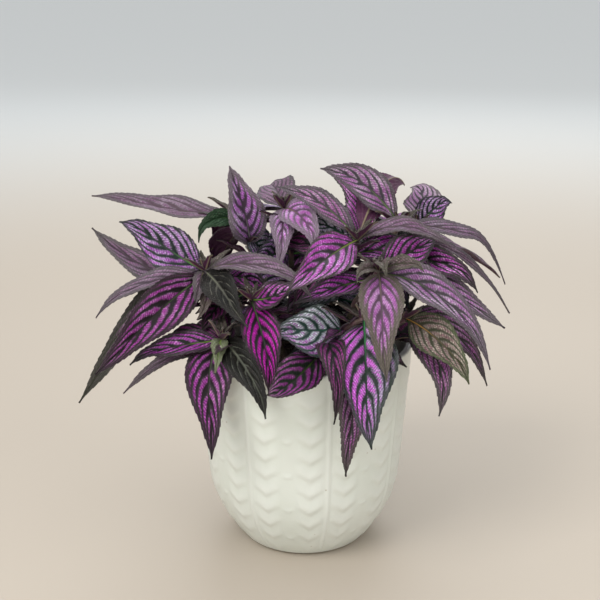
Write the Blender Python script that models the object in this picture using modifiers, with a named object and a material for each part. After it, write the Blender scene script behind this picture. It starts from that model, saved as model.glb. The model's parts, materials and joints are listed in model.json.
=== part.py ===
# Potted Persian shield: a cream pot with chevron relief, its potting mix and the leafy shoots in it.
# Metres, +Z up. The origin is the middle of the pot's flat base, and the front of the plant faces -Y.
import math
import random

import bmesh
import bpy
from mathutils import Vector, noise
from mathutils.bvhtree import BVHTree

mm = 0.001

# Pot: a straight taper above, drawn in towards the foot
potHeight = 131 * mm
rimRadius = 67.5 * mm
wallTaper = 0.075
footHeight = 50 * mm
footDrawIn = 17.9 * mm
footEdge = 1.5 * mm
wallThickness = 4 * mm
floorThickness = 6 * mm
innerHeights = (60 * mm, 25 * mm, 8 * mm)

# Relief: eight ribs, each with a column of downward chevrons on both sides
ribCount = 8
ribTurn = 13
ribHeight = 0.7 * mm
chevronRows = 10
chevronPitch = 11.7 * mm
chevronStart = 6 * mm
chevronHeight = 1.0 * mm
chevronDrop = 4.5 * mm
chevronCrest = 0.32
chevronArm = 0.45
chevronFade = (0.2, 0.7)
reliefAt = {0: "rib", 4: "arm", 10: "point", 16: "arm", 29: "arm", 35: "point", 41: "arm"}

# Potting mix: fills the pot to a little below its rim
soilDepthBelowRim = 15 * mm
soilGap = 0.5 * mm
soilColumns = 24
soilLump = 1.6 * mm
soilLumpScale = 60
fitGap = 0.3 * mm
mergeDistance = 0.01 * mm

# Stems
stemFoot = 2.6 * mm
stemTop = 1.3 * mm
stemBuried = 22 * mm
stemHole = 3.2 * mm
stemRise = 0.6
stemLevels = (-1, 0, 0.2, 0.4, 0.6, 0.8, 1)

# Leaves: a lance-shaped blade on a short stalk, folded along its midrib, with a toothed and waved margin
bladeThickness = 0.9 * mm
stalkShare = 0.07
stalkHalfWidth = 1.0 * mm
stalkTaper = 0.6
widestAt = 0.375
tipSlim = 1.25
toothShare = 0.07
waveHeight = 0.5 * mm
hookShare = 0.3
clearance = 0.7 * mm
guardSides = 64
rootShare = 0.22
leafRows = ((32 * mm, 5), (62 * mm, 6), (1, 8))
lightFrom = Vector((0, -0.95, 0.31))
# Leaves placed by rule, seeded: down the far side of the stems, and in crosswise pairs between the others
backRule = {
    "seed": 11, "from": -25, "length": 72, "width": 26, "face": 0, "fall": (10, 30), "fallStep": 9,
    "levelStep": 0.09, "turns": (-75, 75, -25, 25), "turnsIfBare": (-150, 150, -95, 95, -50, 50, 0),
    "turnSpread": 12, "front": 0, "tries": 160,
}
fillRule = {
    "levels": (0.82, 0.64, 0.46), "length": 54, "width": 24, "face": 0.5, "fall": (-5, 22), "turnSpread": 17,
    "front": -60, "low": 124, "tries": 60,
}
ruleSizes = (0.8, 1.1)
ruleArch = (8, 20)
leafLimit = 110


def leaf(level, tip, width, arch=10, out=0, sway=0, hook=0, face=0.9, roll=0, fold=20):
    # Level runs up the stem from 0 to 1. The leaf's bow is lifted by arch, pushed on by out and aside by
    # sway, its tip droops by hook, and face is how far it turns to the light. Millimetres and degrees.
    return {
        "level": level, "tip": Vector(tip) * mm, "width": width * mm, "arch": arch * mm, "out": out * mm,
        "sway": sway * mm, "hook": hook * mm, "face": face, "roll": math.radians(roll),
        "fold": math.radians(fold),
    }


# Each shoot: where its stem leaves the mix, where it ends, and its leaves in the order they are placed
shoots = {
    "shoot_front_right": {
        "hole": (22, -20), "top": (43, -36, 184), "leaves": [
            leaf(1.00, (44, -78, 134), 27, arch=18, fold=18),
            leaf(0.97, (111, -48, 132), 24, arch=26, face=0.6, hook=4),
            leaf(0.98, (80, -8, 196), 25, arch=4),
            leaf(0.90, (-5, -60, 172), 18, arch=4, face=0.5),
            leaf(1.00, (68, -52, 192), 12, arch=6, face=0.5),
            leaf(1.00, (28, -58, 188), 10, arch=6, face=0.4),
            leaf(1.00, (45, -60, 190), 10, arch=6, face=0.4),
        ],
    },
    "shoot_low_front": {
        "hole": (6, -36), "top": (34, -50, 160), "leaves": [
            leaf(1.00, (35, -88, 97), 38, arch=12, fold=16),
            leaf(0.90, (21, -80, 77), 20, arch=0, out=16, sway=10),
            leaf(0.80, (-19, -60, 159), 32, arch=-4, face=1.0),
            leaf(0.40, (-17, -52, 130), 24, arch=0, sway=8, face=1.0),
            leaf(0.45, (20, -78, 97), 17, arch=30, out=20, sway=-4),
            leaf(0.40, (-20, -96, 131), 25, arch=0, out=24, sway=8, face=0.6),
        ],
    },
    "shoot_left": {
        "hole": (-30, -8), "top": (-60, -20, 180), "leaves": [
            leaf(0.97, (-115, -78, 136), 28, arch=9, face=1.1),
            leaf(0.98, (-110, -2, 210), 29, arch=-4),
            leaf(0.90, (-133, 12, 199), 22, arch=-22, face=0.8),
            leaf(0.93, (-123, -45, 163), 15, arch=14, face=0.4),
            leaf(0.80, (-131, -52, 111), 28, arch=42, face=0.8),
            leaf(1.00, (6, -62, 180), 17, arch=18, face=0.4),
            leaf(1.00, (-35, -66, 161), 20, arch=8),
            leaf(1.00, (-64, -40, 164), 9, arch=6),
            leaf(0.90, (-60, -46, 159), 11, arch=4),
            leaf(0.70, (-58, -44, 151), 18, arch=0, sway=-6, face=0.5),
        ],
    },
    "shoot_front_left": {
        "hole": (-28, -30), "top": (-49, -44, 145), "leaves": [
            leaf(1.00, (-50, -80, 88), 28, arch=16, fold=14, sway=-12),
            leaf(1.00, (-20, -84, 115), 20, arch=12),
            leaf(0.95, (-101, -62, 140), 18, arch=4, face=0.5),
            leaf(0.60, (-107, -45, 112), 14, arch=26, face=0.5),
            leaf(1.00, (-50, -64, 134), 10, arch=8),
            leaf(0.90, (-94, -40, 136), 24, arch=6, sway=6, face=0.5),
        ],
    },
    "shoot_front": {
        "hole": (-12, -26), "top": (-31, -46, 170), "leaves": [
            leaf(1.00, (-18, -80, 127), 24, arch=6, out=6, fold=26),
            leaf(1.00, (-3, -66, 187), 19, arch=6, face=0.6),
        ],
    },
    "shoot_upper_left": {
        "hole": (-24, 14), "top": (-43, 16, 206), "leaves": [
            leaf(0.72, (-46, -8, 242), 26, arch=0, fold=24, sway=6),
            leaf(0.98, (-134, 22, 216), 22, arch=-6, face=0.3, hook=4),
            leaf(0.92, (-58, 42, 178), 24, arch=18, face=0),
            leaf(0.92, (-68, 2, 196), 12, arch=14),
            leaf(0.80, (-23, 20, 174), 24, arch=6, sway=-6, face=0.5),
        ],
    },
    "shoot_crown": {
        "hole": (-6, 14), "top": (-13, 15, 210), "leaves": [
            leaf(1.00, (9, -28, 197), 23, arch=12, face=0.8),
            leaf(0.98, (-14, -22, 182), 17, arch=14),
            leaf(0.98, (-23, 60, 215), 27, arch=10),
            leaf(1.00, (-1, 40, 213), 14, arch=6),
            leaf(0.65, (-32, -4, 183), 22, arch=2),
        ],
    },
    "shoot_right": {
        "hole": (36, 12), "top": (59, 12, 200), "leaves": [
            leaf(1.00, (10, 4, 235), 24, arch=20, face=0.8),
            leaf(0.60, (106, -28, 180), 24, arch=22),
            leaf(1.00, (122, -8, 168), 13, arch=8, face=0.5, hook=24, sway=-6),
            leaf(0.70, (118, -30, 147), 23, arch=10, face=0.7),
            leaf(0.85, (130, 10, 146), 12, arch=32, face=0.3),
        ],
    },
    "shoot_middle": {
        "hole": (14, -2), "top": (32, -8, 196), "leaves": [
            leaf(1.00, (-9, -72, 174), 26, arch=6, fold=14),
            leaf(1.00, (-16, -6, 226), 17, arch=16, face=0.7),
            leaf(0.97, (85, -22, 195), 15, arch=16, face=0.4),
            leaf(0.97, (15, 34, 229), 20, arch=2, face=0.7, sway=-24),
            leaf(0.95, (-1, 6, 202), 20, arch=10),
            leaf(1.00, (66, 34, 223), 22, arch=34, roll=180),
            leaf(0.60, (-2, -44, 164), 20, arch=4),
            leaf(0.30, (-12, -50, 168), 18, arch=12, sway=-6, face=0.5),
        ],
    },
    "shoot_low_right": {
        "hole": (36, -18), "top": (60, -32, 154), "leaves": [
            leaf(1.00, (96, -62, 127), 25, arch=10),
            leaf(0.97, (82, -62, 106), 24, arch=16, sway=14),
            leaf(0.95, (113, -28, 118), 22, arch=24, face=0.7, hook=4),
        ],
    },
    "shoot_back_right": {
        "hole": (30, 34), "top": (74, 40, 192), "leaves": [
            leaf(1.00, (72, 54, 219), 28, arch=4, sway=-8),
            leaf(0.98, (94, 44, 210), 20, arch=6),
        ],
    },
    "shoot_back": {
        "hole": (6, 42), "top": (12, 66, 178), "leaves": [],
    },
    "shoot_back_left": {
        "hole": (-20, 34), "top": (-40, 52, 184), "leaves": [],
    },
}


def newCollection(name, parent):
    collection = bpy.data.collections.new(name)
    parent.children.link(collection)
    return collection


def newMaterial(name, color, roughness, metallic=0.0):
    material = bpy.data.materials.new(name)
    material.use_nodes = True
    shader = material.node_tree.nodes["Principled BSDF"]
    shader.inputs["Base Color"].default_value = (*color, 1.0)
    shader.inputs["Roughness"].default_value = roughness
    shader.inputs["Metallic"].default_value = metallic
    return material


def meshObject(name, bm, collection):
    mesh = bpy.data.meshes.new(name)
    bmesh.ops.recalc_face_normals(bm, faces=bm.faces)
    bm.to_mesh(mesh)
    bm.free()
    obj = bpy.data.objects.new(name, mesh)
    collection.objects.link(obj)
    return obj


def outerRadius(height):
    drawIn = footDrawIn * max(0.0, 1 - height / footHeight) ** 2
    return rimRadius - wallTaper * (potHeight - height) - drawIn


def wrapBody(name, angles, rowCount, place, collection):
    # A closed turned body: a grid wrapped round the axis, with its seam and its two poles merged
    bm = bmesh.new()
    bmesh.ops.create_grid(bm, x_segments=len(angles), y_segments=rowCount - 1)
    bm.verts.ensure_lookup_table()
    columns = len(angles) + 1
    for index, vert in enumerate(bm.verts):
        row, column = divmod(index, columns)
        angle = angles[column % len(angles)]
        radius, height = place(row, column % len(angles))
        vert.co = (radius * math.cos(angle), radius * math.sin(angle), height)
    bmesh.ops.remove_doubles(bm, verts=bm.verts, dist=mergeDistance)
    return meshObject(name, bm, collection)


def makePot(collection):
    angles, kinds = [], []
    for rib in range(ribCount):
        for step, kind in reliefAt.items():
            angles.append(math.radians(ribTurn - 90 + rib * 360 / ribCount + step))
            kinds.append(kind)
    # Rows from the middle of the base, out, up the outer wall, over the rim and down inside
    rows = [(0.0, 0.0, "plain", 0), (outerRadius(0) - footEdge, 0.0, "plain", 0)]
    rows.append((outerRadius(footEdge), footEdge, "plain", 0))
    for band in range(chevronRows):
        low = chevronStart + band * chevronPitch
        crest = low + chevronCrest * chevronPitch
        rows.append((outerRadius(low), low, "hollow", band))
        rows.append((outerRadius(crest), crest, "crest", band))
    top = chevronStart + chevronRows * chevronPitch
    rows.append((outerRadius(top), top, "plain", 0))
    lip = wallThickness / 3
    rows.append((outerRadius(potHeight - lip), potHeight - lip, "plain", 0))
    rows.append((rimRadius - lip, potHeight, "plain", 0))
    rows.append((rimRadius - wallThickness + lip, potHeight, "plain", 0))
    for height in (potHeight - lip, *innerHeights):
        rows.append((outerRadius(height) - wallThickness, height, "plain", 0))
    rows.append((outerRadius(floorThickness) - wallThickness - 2 * footEdge, floorThickness, "plain", 0))
    rows.append((0.0, floorThickness, "plain", 0))

    def place(row, column):
        radius, height, line, band = rows[row]
        kind = kinds[column]
        if line == "plain":
            return radius, height
        if kind == "rib":
            return radius + ribHeight, height
        fade = chevronFade[band] if band < len(chevronFade) else 1.0
        if kind == "point":
            height -= chevronDrop * fade
            radius = outerRadius(height)
        if line == "crest":
            radius += chevronHeight * (1.0 if kind == "point" else chevronArm) * fade
        return radius, height

    pot = wrapBody("pot", angles, len(rows), place, collection)
    pot.data.shade_smooth()
    pot.data.set_sharp_from_angle(angle=math.radians(40))
    pot.data.materials.append(newMaterial("ivory glaze", (0.80, 0.75, 0.64), 0.35))
    return pot


def soilHeight(x, y):
    return potHeight - soilDepthBelowRim + soilLump * noise.noise(Vector((x, y, 0.0)) * soilLumpScale)


def makeSoil(collection, cutters):
    angles = [math.radians(index * 360 / soilColumns) for index in range(soilColumns)]
    inset = wallThickness + soilGap
    base = floorThickness + fitGap
    wallHeights = (base + 2 * footEdge, *innerHeights[-2::-1])
    rows = [(0.0, base), (outerRadius(floorThickness) - inset - 3 * footEdge, base)]
    rows += [(outerRadius(height) - inset, height) for height in wallHeights]
    topRadius = outerRadius(potHeight - soilDepthBelowRim) - inset
    rows += [(topRadius * share, None) for share in (1.0, 0.75, 0.5, 0.25, 0.0)]

    def place(row, column):
        radius, height = rows[row]
        if height is None:
            angle = angles[column]
            height = soilHeight(radius * math.cos(angle), radius * math.sin(angle))
        return radius, height

    soil = wrapBody("potting_mix", angles, len(rows), place, collection)
    soil.data.materials.append(newMaterial("potting mix", (0.045, 0.032, 0.024), 0.95))
    for name, shoot in shoots.items():
        x, y = (value * mm for value in shoot["hole"])
        bm = bmesh.new()
        depth = stemBuried + fitGap
        bmesh.ops.create_cone(
            bm, cap_ends=True, segments=8, radius1=stemHole, radius2=stemHole, depth=2 * depth,
        )
        cutter = meshObject("hole_" + name, bm, cutters)
        cutter.location = (x, y, potHeight - soilDepthBelowRim)
        cutter.hide_render = True
        cutter.display_type = "WIRE"
        cut = soil.modifiers.new(cutter.name, "BOOLEAN")
        cut.operation = "DIFFERENCE"
        cut.object = cutter
    return soil


def bezier(start, control, end, share):
    return start * (1 - share) ** 2 + control * (2 * share * (1 - share)) + end * share ** 2


def stemPoint(shoot, level):
    x, y = (value * mm for value in shoot["hole"])
    surface = potHeight - soilDepthBelowRim
    start = Vector((x, y, surface))
    top = Vector(shoot["top"]) * mm
    control = Vector((x, y, surface + stemRise * (top.z - surface)))
    if level < 0:
        return start + Vector((0, 0, level * stemBuried))
    return bezier(start, control, top, level)


def stemRadius(level):
    return stemFoot + (stemTop - stemFoot) * max(0.0, level)


def makeStem(name, shoot, collection):
    curve = bpy.data.curves.new(name, "CURVE")
    curve.dimensions = "3D"
    curve.bevel_depth = 1.0
    curve.bevel_resolution = 1
    curve.use_fill_caps = True
    spline = curve.splines.new("POLY")
    spline.points.add(len(stemLevels) - 1)
    for point, level in zip(spline.points, stemLevels):
        point.co = (*stemPoint(shoot, level), 1.0)
        point.radius = stemRadius(level)
    tube = bpy.data.objects.new(name, curve)
    collection.objects.link(tube)
    evaluated = tube.evaluated_get(bpy.context.evaluated_depsgraph_get())
    mesh = bpy.data.meshes.new_from_object(evaluated)
    bm = bmesh.new()
    bm.from_mesh(mesh)
    bmesh.ops.remove_doubles(bm, verts=bm.verts, dist=mergeDistance)
    bpy.data.objects.remove(tube)
    return meshObject(name, bm, collection)


def halfWidth(blade, share):
    inner = max(0.0, (share - stalkShare) / (1 - stalkShare))
    rise = (inner / widestAt) ** (tipSlim * widestAt / (1 - widestAt))
    shape = rise * ((1 - inner) / (1 - widestAt)) ** tipSlim
    return max(stalkHalfWidth * (1 - stalkTaper * share), 0.5 * blade["width"] * shape)


def turnToLight(blade):
    # The turn about the leaf's chord that brings its upper face round to the light
    chord = (blade["tip"] - blade["start"]).normalized()
    side = Vector((0, 0, 1)).cross(chord).normalized()
    return math.atan2(-side.dot(lightFrom), chord.cross(side).dot(lightFrom))


def bladeRow(blade, share, across):
    # One row of points across the leaf, at a share of its length; across runs from -1 to 1 over its width
    start, end, hook = blade["start"], blade["tip"], blade["hook"]
    away = Vector((end.x - start.x, end.y - start.y, 0))
    side = Vector((0, 0, 1)).cross(away).normalized()
    lifted = end + Vector((0, 0, hook))
    control = (start + lifted) / 2 + Vector((0, 0, blade["arch"])) + side * blade["sway"]
    control += away.normalized() * blade["out"]
    point = bezier(start, control, lifted, share)
    point.z -= hook * max(0.0, (share - 1 + hookShare) / hookShare) ** 2
    tangent = ((control - start) * (1 - share) + (lifted - control) * share).normalized()
    side = (side - tangent * side.dot(tangent)).normalized()
    up = tangent.cross(side)
    turn = blade["face"] * blade["toLight"] + blade["roll"]
    side, up = side * math.cos(turn) + up * math.sin(turn), up * math.cos(turn) - side * math.sin(turn)
    half = halfWidth(blade, share)
    row = []
    for reach in across:
        out = side * (reach * half * math.cos(blade["fold"]))
        rise = up * (abs(reach) * half * math.sin(blade["fold"]))
        row.append(point + out + rise)
    return row, up


def stationShares(blade, outerOnly=False):
    length = (blade["tip"] - blade["start"]).length
    count = next(rows for limit, rows in leafRows if length < limit)
    shares = [0.0] + [stalkShare + (1 - stalkShare) * index / (count - 1) for index in range(count)]
    return [share for share in shares if share >= rootShare] if outerOnly else shares


def testBlade(blade, outerOnly=False):
    # A closed strip that stands clear of the leaf's faces by half the wanted clearance
    verts, faces = [], []
    gap = bladeThickness / 2 + clearance / 2
    shares = stationShares(blade, outerOnly)
    for share in shares:
        row, up = bladeRow(blade, share, (-1 - toothShare, 0, 1 + toothShare))
        verts += [point + up * gap for point in row] + [point - up * gap for point in row]
    for index in range(len(shares) - 1):
        low, high = index * 6, index * 6 + 6
        for a, b in ((0, 1), (1, 2), (5, 4), (4, 3), (3, 0), (2, 5)):
            faces.append((low + a, low + b, high + b, high + a))
    return BVHTree.FromPolygons(verts, faces)


def makeBlade(name, blade, collection):
    bm = bmesh.new()
    shares = stationShares(blade)
    bmesh.ops.create_grid(bm, x_segments=2, y_segments=len(shares) - 1)
    bm.verts.ensure_lookup_table()
    for index, share in enumerate(shares):
        inBlade = 0 < index - 1 < len(shares) - 2
        tooth = 1 + (toothShare if index % 2 else -toothShare) * inBlade
        row, up = bladeRow(blade, share, (-tooth, 0, tooth))
        wave = waveHeight * (1 if index % 2 else -1) * inBlade
        row[0] += up * wave
        row[2] -= up * wave
        for step, point in enumerate(row):
            bm.verts[index * 3 + step].co = point
    bmesh.ops.triangulate(bm, faces=bm.faces)
    sheet = meshObject(name, bm, collection)
    shell = sheet.modifiers.new("thickness", "SOLIDIFY")
    shell.thickness = bladeThickness
    shell.offset = 0
    return sheet


def ringTree(rings):
    # A test surface through rings of points, from the first ring to the last
    size = len(rings[0])
    faces = []
    for row in range(len(rings) - 1):
        for step in range(size):
            low, near = row * size + step, row * size + (step + 1) % size
            faces.append((low, near, near + size, low + size))
    return BVHTree.FromPolygons([point for ring in rings for point in ring], faces)


def ring(middle, along, radius, count):
    side = along.cross(Vector((0, 1, 0))).normalized()
    other = along.cross(side)
    angles = [index * 2 * math.pi / count for index in range(count)]
    return [middle + (side * math.cos(angle) + other * math.sin(angle)) * radius for angle in angles]


def potGuard():
    # Stands a little off the relief, the rim and the mix
    margin = chevronHeight + clearance / 2
    profile = [(outerRadius(footHeight * step / 3) + margin, footHeight * step / 3) for step in range(4)]
    profile += [(rimRadius + margin, potHeight + clearance / 2)]
    inner = rimRadius - wallThickness - clearance
    surface = potHeight - soilDepthBelowRim + soilLump
    profile += [(inner, potHeight + clearance / 2), (inner - wallThickness / 2, surface), (0.1 * mm, surface)]
    up = Vector((0, 0, 1))
    return ringTree([ring(up * height, up, radius, guardSides) for radius, height in profile])


def stemGuard(shoot):
    rings = []
    for level in stemLevels[1:]:
        along = (stemPoint(shoot, level + 0.01) - stemPoint(shoot, max(0.0, level - 0.01))).normalized()
        rings.append(ring(stemPoint(shoot, level), along, stemRadius(level), guardSides // 8))
    tip = rings[-1]
    rings.append([sum(tip, Vector()) / len(tip)] * len(tip))
    return ringTree(rings)


def bendChoices():
    # Ways to move a leaf's tip and arch, the slightest first, and in depth rather than across the front view
    deep, up, across = Vector((0, 0.95, -0.3)), Vector((0, 0, 1)), Vector((1, 0, 0))
    ways = [(deep, 1.0), (-deep, 1.0), (up, 1.6), (-up, 1.6), (across, 1.8), (-across, 1.8)]
    ways += [(deep + up, 1.3), (deep - up, 1.3), (up - deep, 1.3), (-deep - up, 1.3)]
    choices = []
    for arch in (0, 6, -6, 12, -12, 20):
        choices.append((0.7 * abs(arch), arch * mm, Vector((0, 0, 0))))
        for reach in (3, 6, 9, 13, 18, 24):
            choices += [(0.7 * abs(arch) + reach * cost, arch * mm, way * reach * mm) for way, cost in ways]
    return sorted(choices, key=lambda choice: choice[0])


def placeLeaf(name, order, wanted, placed, guards, choices, lengths=(1.0,)):
    # Bends the leaf until it is clear of the pot, the mix, other shoots and its own shoot's outer leaves
    start = stemPoint(shoots[name], wanted["level"])
    for share in lengths:
        for cost, arch, shift in choices:
            blade = dict(wanted, shoot=name, order=order, start=start, arch=wanted["arch"] + arch)
            blade["tip"] = start + (wanted["tip"] - start) * share + shift
            blade["toLight"] = turnToLight(blade)
            blade["whole"], blade["outer"] = testBlade(blade), testBlade(blade, outerOnly=True)
            near = [(owner, tree, tree) for owner, tree in guards]
            near += [(other["shoot"], other["whole"], other["outer"]) for other in placed]
            if not any(blade["outer"].overlap(outer) if owner == name else blade["whole"].overlap(whole)
                       for owner, whole, outer in near):
                placed.append(blade)
                return


def ruleLeaf(draw, shoot, level, heading, fall, rule):
    # A leaf at a heading and a fall below level, with its length and width drawn near the rule's
    start = stemPoint(shoot, level)
    away = Vector((math.cos(heading) * math.cos(fall), math.sin(heading) * math.cos(fall), -math.sin(fall)))
    tip = start / mm + away * rule["length"] * draw.uniform(*ruleSizes)
    width = rule["width"] * draw.uniform(*ruleSizes)
    return leaf(level, tip, width, arch=draw.uniform(*ruleArch), face=rule["face"])


def backLeaves(draw, shoot):
    # Leaves down the far side of a stem, which the front view doesn't show
    outward = math.atan2(shoot["top"][1] - backRule["from"], shoot["top"][0])
    spread = backRule["turnSpread"]
    leaves = []
    for order, turn in enumerate(backRule["turns"] if shoot["leaves"] else backRule["turnsIfBare"]):
        pair = order // 2
        heading = outward + math.radians(turn + draw.uniform(-spread, spread))
        fall = math.radians(draw.uniform(*backRule["fall"]) + backRule["fallStep"] * pair)
        wanted = ruleLeaf(draw, shoot, 0.97 - backRule["levelStep"] * pair, heading, fall, backRule)
        if wanted["tip"].y > backRule["front"] * mm:
            leaves.append(wanted)
    return leaves


def fillLeaves(draw, shoot):
    # Crosswise pairs down a stem, kept behind the front leaves and above the rim
    heading = draw.uniform(0, math.pi)
    spread = math.radians(fillRule["turnSpread"])
    leaves = []
    for level in fillRule["levels"]:
        for turn in (0, math.pi):
            fall = math.radians(draw.uniform(*fillRule["fall"]))
            wanted = ruleLeaf(draw, shoot, level, heading + turn, fall, fillRule)
            if wanted["tip"].y > fillRule["front"] * mm and wanted["tip"].z > fillRule["low"] * mm:
                leaves.append(wanted)
        heading += math.pi / 2 + draw.uniform(-spread, spread)
    return leaves


def placeLeaves(guards):
    # The named leaves of every shoot first, then the leaves placed by rule
    placed, choices = [], bendChoices()
    draw = random.Random(backRule["seed"])
    for name, shoot in shoots.items():
        for order, wanted in enumerate(shoot["leaves"]):
            placeLeaf(name, order, wanted, placed, guards, choices, (1.0, 0.88, 0.76))
    for name, shoot in shoots.items():
        if shoot["top"][1] > backRule["from"]:
            for wanted in backLeaves(draw, shoot):
                placeLeaf(name, -1, wanted, placed, guards, choices[:backRule["tries"]], (1.0, 0.85))
    for name, shoot in shoots.items():
        for wanted in fillLeaves(draw, shoot):
            if len(placed) < leafLimit:
                placeLeaf(name, -1, wanted, placed, guards, choices[:fillRule["tries"]])
    return placed


def islands(bm):
    # Groups of faces that hang together by their edges
    left, groups = set(bm.faces), []
    while left:
        group, edge = [], [left.pop()]
        while edge:
            face = edge.pop()
            group.append(face)
            near = {other for line in face.edges for other in line.link_faces if other in left}
            left -= near
            edge += near
        groups.append(group)
    return groups


def signedVolume(faces):
    total = 0.0
    for face in faces:
        first = face.verts[0].co
        for a, b in zip(face.verts[1:], face.verts[2:]):
            total += first.dot(a.co.cross(b.co)) / 6
    return total


def keepOneBody(mesh):
    # Fills hollows that joining has sealed, drops loose scraps, and says whether the mesh is closed
    bm = bmesh.new()
    bm.from_mesh(mesh)
    groups = sorted(islands(bm), key=signedVolume)
    spare = [face for group in groups[:-1] for face in group]
    bmesh.ops.delete(bm, geom=spare, context="FACES")
    closed = len(bm.faces) > 0 and all(edge.is_manifold for edge in bm.edges)
    bm.to_mesh(mesh)
    bm.free()
    return closed


def uniteShoot(name, stem, blades, collection):
    # Joins a stem and its leaves into one body, then removes the loose leaves
    united = None
    for solver in ("EXACT", "MANIFOLD"):
        join = stem.modifiers.new("join leaves", "BOOLEAN")
        join.operation = "UNION"
        join.operand_type = "COLLECTION"
        join.collection = blades
        join.solver = solver
        evaluated = stem.evaluated_get(bpy.context.evaluated_depsgraph_get())
        united = bpy.data.meshes.new_from_object(evaluated)
        stem.modifiers.remove(join)
        if keepOneBody(united):
            break
        print(name, "is open after", solver)
    shoot = bpy.data.objects.new(name, united)
    collection.objects.link(shoot)
    for piece in list(blades.objects) + [stem]:
        bpy.data.objects.remove(piece)
    bpy.data.collections.remove(blades)
    return shoot


for old in list(bpy.data.objects):
    bpy.data.objects.remove(old)

plant = newCollection("potted_persian_shield", bpy.context.scene.collection)
cutters = newCollection("cutters", bpy.context.scene.collection)
pot = makePot(plant)
soil = makeSoil(plant, cutters)
leafMaterial = newMaterial("purple leaf", (0.20, 0.035, 0.17), 0.45)

guards = [("pot", potGuard())] + [(name, stemGuard(shoot)) for name, shoot in shoots.items()]
placed = placeLeaves(guards)
stems = {name: makeStem("stem_" + name, shoot, plant) for name, shoot in shoots.items()}
for name in shoots:
    blades = newCollection("blades_" + name, bpy.context.scene.collection)
    own = [blade for blade in placed if blade["shoot"] == name]
    for order, blade in enumerate(own):
        makeBlade(f"blade_{order}", blade, blades)
    bpy.context.view_layer.update()
    shoot = uniteShoot(name, stems[name], blades, plant)
    shoot.data.materials.clear()
    shoot.data.materials.append(leafMaterial)
    print(name, len(own), "leaves", sum(len(face.vertices) - 2 for face in shoot.data.polygons), "triangles")
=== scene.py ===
import json
import math
import random

import bmesh
import bpy
from mathutils import Matrix, Vector, noise
from mathutils.bvhtree import BVHTree

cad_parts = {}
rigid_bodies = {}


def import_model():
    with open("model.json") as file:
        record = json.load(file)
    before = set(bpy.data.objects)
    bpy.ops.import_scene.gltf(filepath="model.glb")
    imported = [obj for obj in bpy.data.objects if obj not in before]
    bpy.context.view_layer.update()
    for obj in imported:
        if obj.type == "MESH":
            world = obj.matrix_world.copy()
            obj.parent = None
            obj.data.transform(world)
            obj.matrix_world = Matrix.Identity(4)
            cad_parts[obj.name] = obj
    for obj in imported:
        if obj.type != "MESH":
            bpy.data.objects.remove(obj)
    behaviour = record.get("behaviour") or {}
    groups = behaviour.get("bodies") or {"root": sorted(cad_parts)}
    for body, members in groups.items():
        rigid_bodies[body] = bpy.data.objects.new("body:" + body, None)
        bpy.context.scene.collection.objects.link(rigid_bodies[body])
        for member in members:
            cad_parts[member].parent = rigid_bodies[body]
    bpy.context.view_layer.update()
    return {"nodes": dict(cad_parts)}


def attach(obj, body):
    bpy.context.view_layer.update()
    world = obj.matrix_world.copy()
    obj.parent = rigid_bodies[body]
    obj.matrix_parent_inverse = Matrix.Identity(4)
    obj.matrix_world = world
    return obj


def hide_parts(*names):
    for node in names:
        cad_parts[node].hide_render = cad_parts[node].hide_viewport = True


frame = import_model()
mm = 0.001
up = Vector((0, 0, 1))
print("frame loaded:", len(frame["nodes"]), "nodes")

# ---- shapes shared with the frame, in metres ----

potShape = {
    "height": 131 * mm, "rimRadius": 67.5 * mm, "wallTaper": 0.075, "footHeight": 50 * mm,
    "footDrawIn": 17.9 * mm, "footEdge": 1.5 * mm, "wall": 4 * mm, "floor": 6 * mm, "soilDepth": 15 * mm,
    "soilLump": 1.6 * mm, "soilLumpScale": 60, "soilGap": 0.5 * mm, "relief": 1.0 * mm,
}
stemShape = {
    "foot": 2.6 * mm, "top": 1.3 * mm, "buried": 22 * mm, "rise": 0.6, "levels": (0, 0.2, 0.4, 0.6, 0.8, 1),
}
leafShape = {
    "thickness": 0.9 * mm, "stalkShare": 0.07, "stalkHalfWidth": 1.0 * mm, "stalkTaper": 0.6,
    "widestAt": 0.375, "tipSlim": 1.25, "toothShare": 0.07, "hookShare": 0.3, "clearance": 0.7 * mm,
    "guardSides": 64, "rootShare": 0.22, "rows": ((32 * mm, 5), (62 * mm, 6), (1, 8)), "limit": 110,
    "lightFrom": Vector((0, -0.95, 0.31)),
}
backRule = {
    "seed": 11, "from": -25, "length": 72, "width": 26, "face": 0, "fall": (10, 30), "fallStep": 9,
    "levelStep": 0.09, "turns": (-75, 75, -25, 25), "turnsIfBare": (-150, 150, -95, 95, -50, 50, 0),
    "turnSpread": 12, "front": 0, "tries": 160, "looks": ("violet", "magenta", "mauveSheen", "dusk"),
}
fillRule = {
    "levels": (0.82, 0.64, 0.46), "length": 54, "width": 24, "face": 0.5, "fall": (-5, 22), "turnSpread": 17,
    "front": -60, "low": 124, "tries": 60, "looks": ("dusk", "magenta", "dusk", "violet", "silver"),
}
bendRule = {
    "arches": (0, 6, -6, 12, -12, 20), "archCost": 0.7, "reaches": (3, 6, 9, 13, 18, 24),
    "lengths": (1.0, 0.88, 0.76), "backLengths": (1.0, 0.85),
}
ruleSizes = (0.8, 1.1)
ruleArch = (8, 20)


def leaf(level, tip, width, look, arch=10, out=0, sway=0, hook=0, face=0.9, roll=0, fold=20):
    # level runs from 0 to 1 up the stem. The bow is lifted by arch, pushed on by out and aside by sway, and
    # the tip droops by hook, in millimetres. face is how far the top turns to the light: 1 is all the way
    return {
        "level": level, "tip": Vector(tip) * mm, "width": width * mm, "arch": arch * mm, "out": out * mm,
        "sway": sway * mm, "hook": hook * mm, "face": face, "roll": math.radians(roll),
        "fold": math.radians(fold), "look": look,
    }


def newShoot(hole, top, *leaves):
    # Where the stem leaves the mix, where it ends, and its leaves in the order they are placed
    return {"hole": hole, "top": top, "leaves": leaves}


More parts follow.
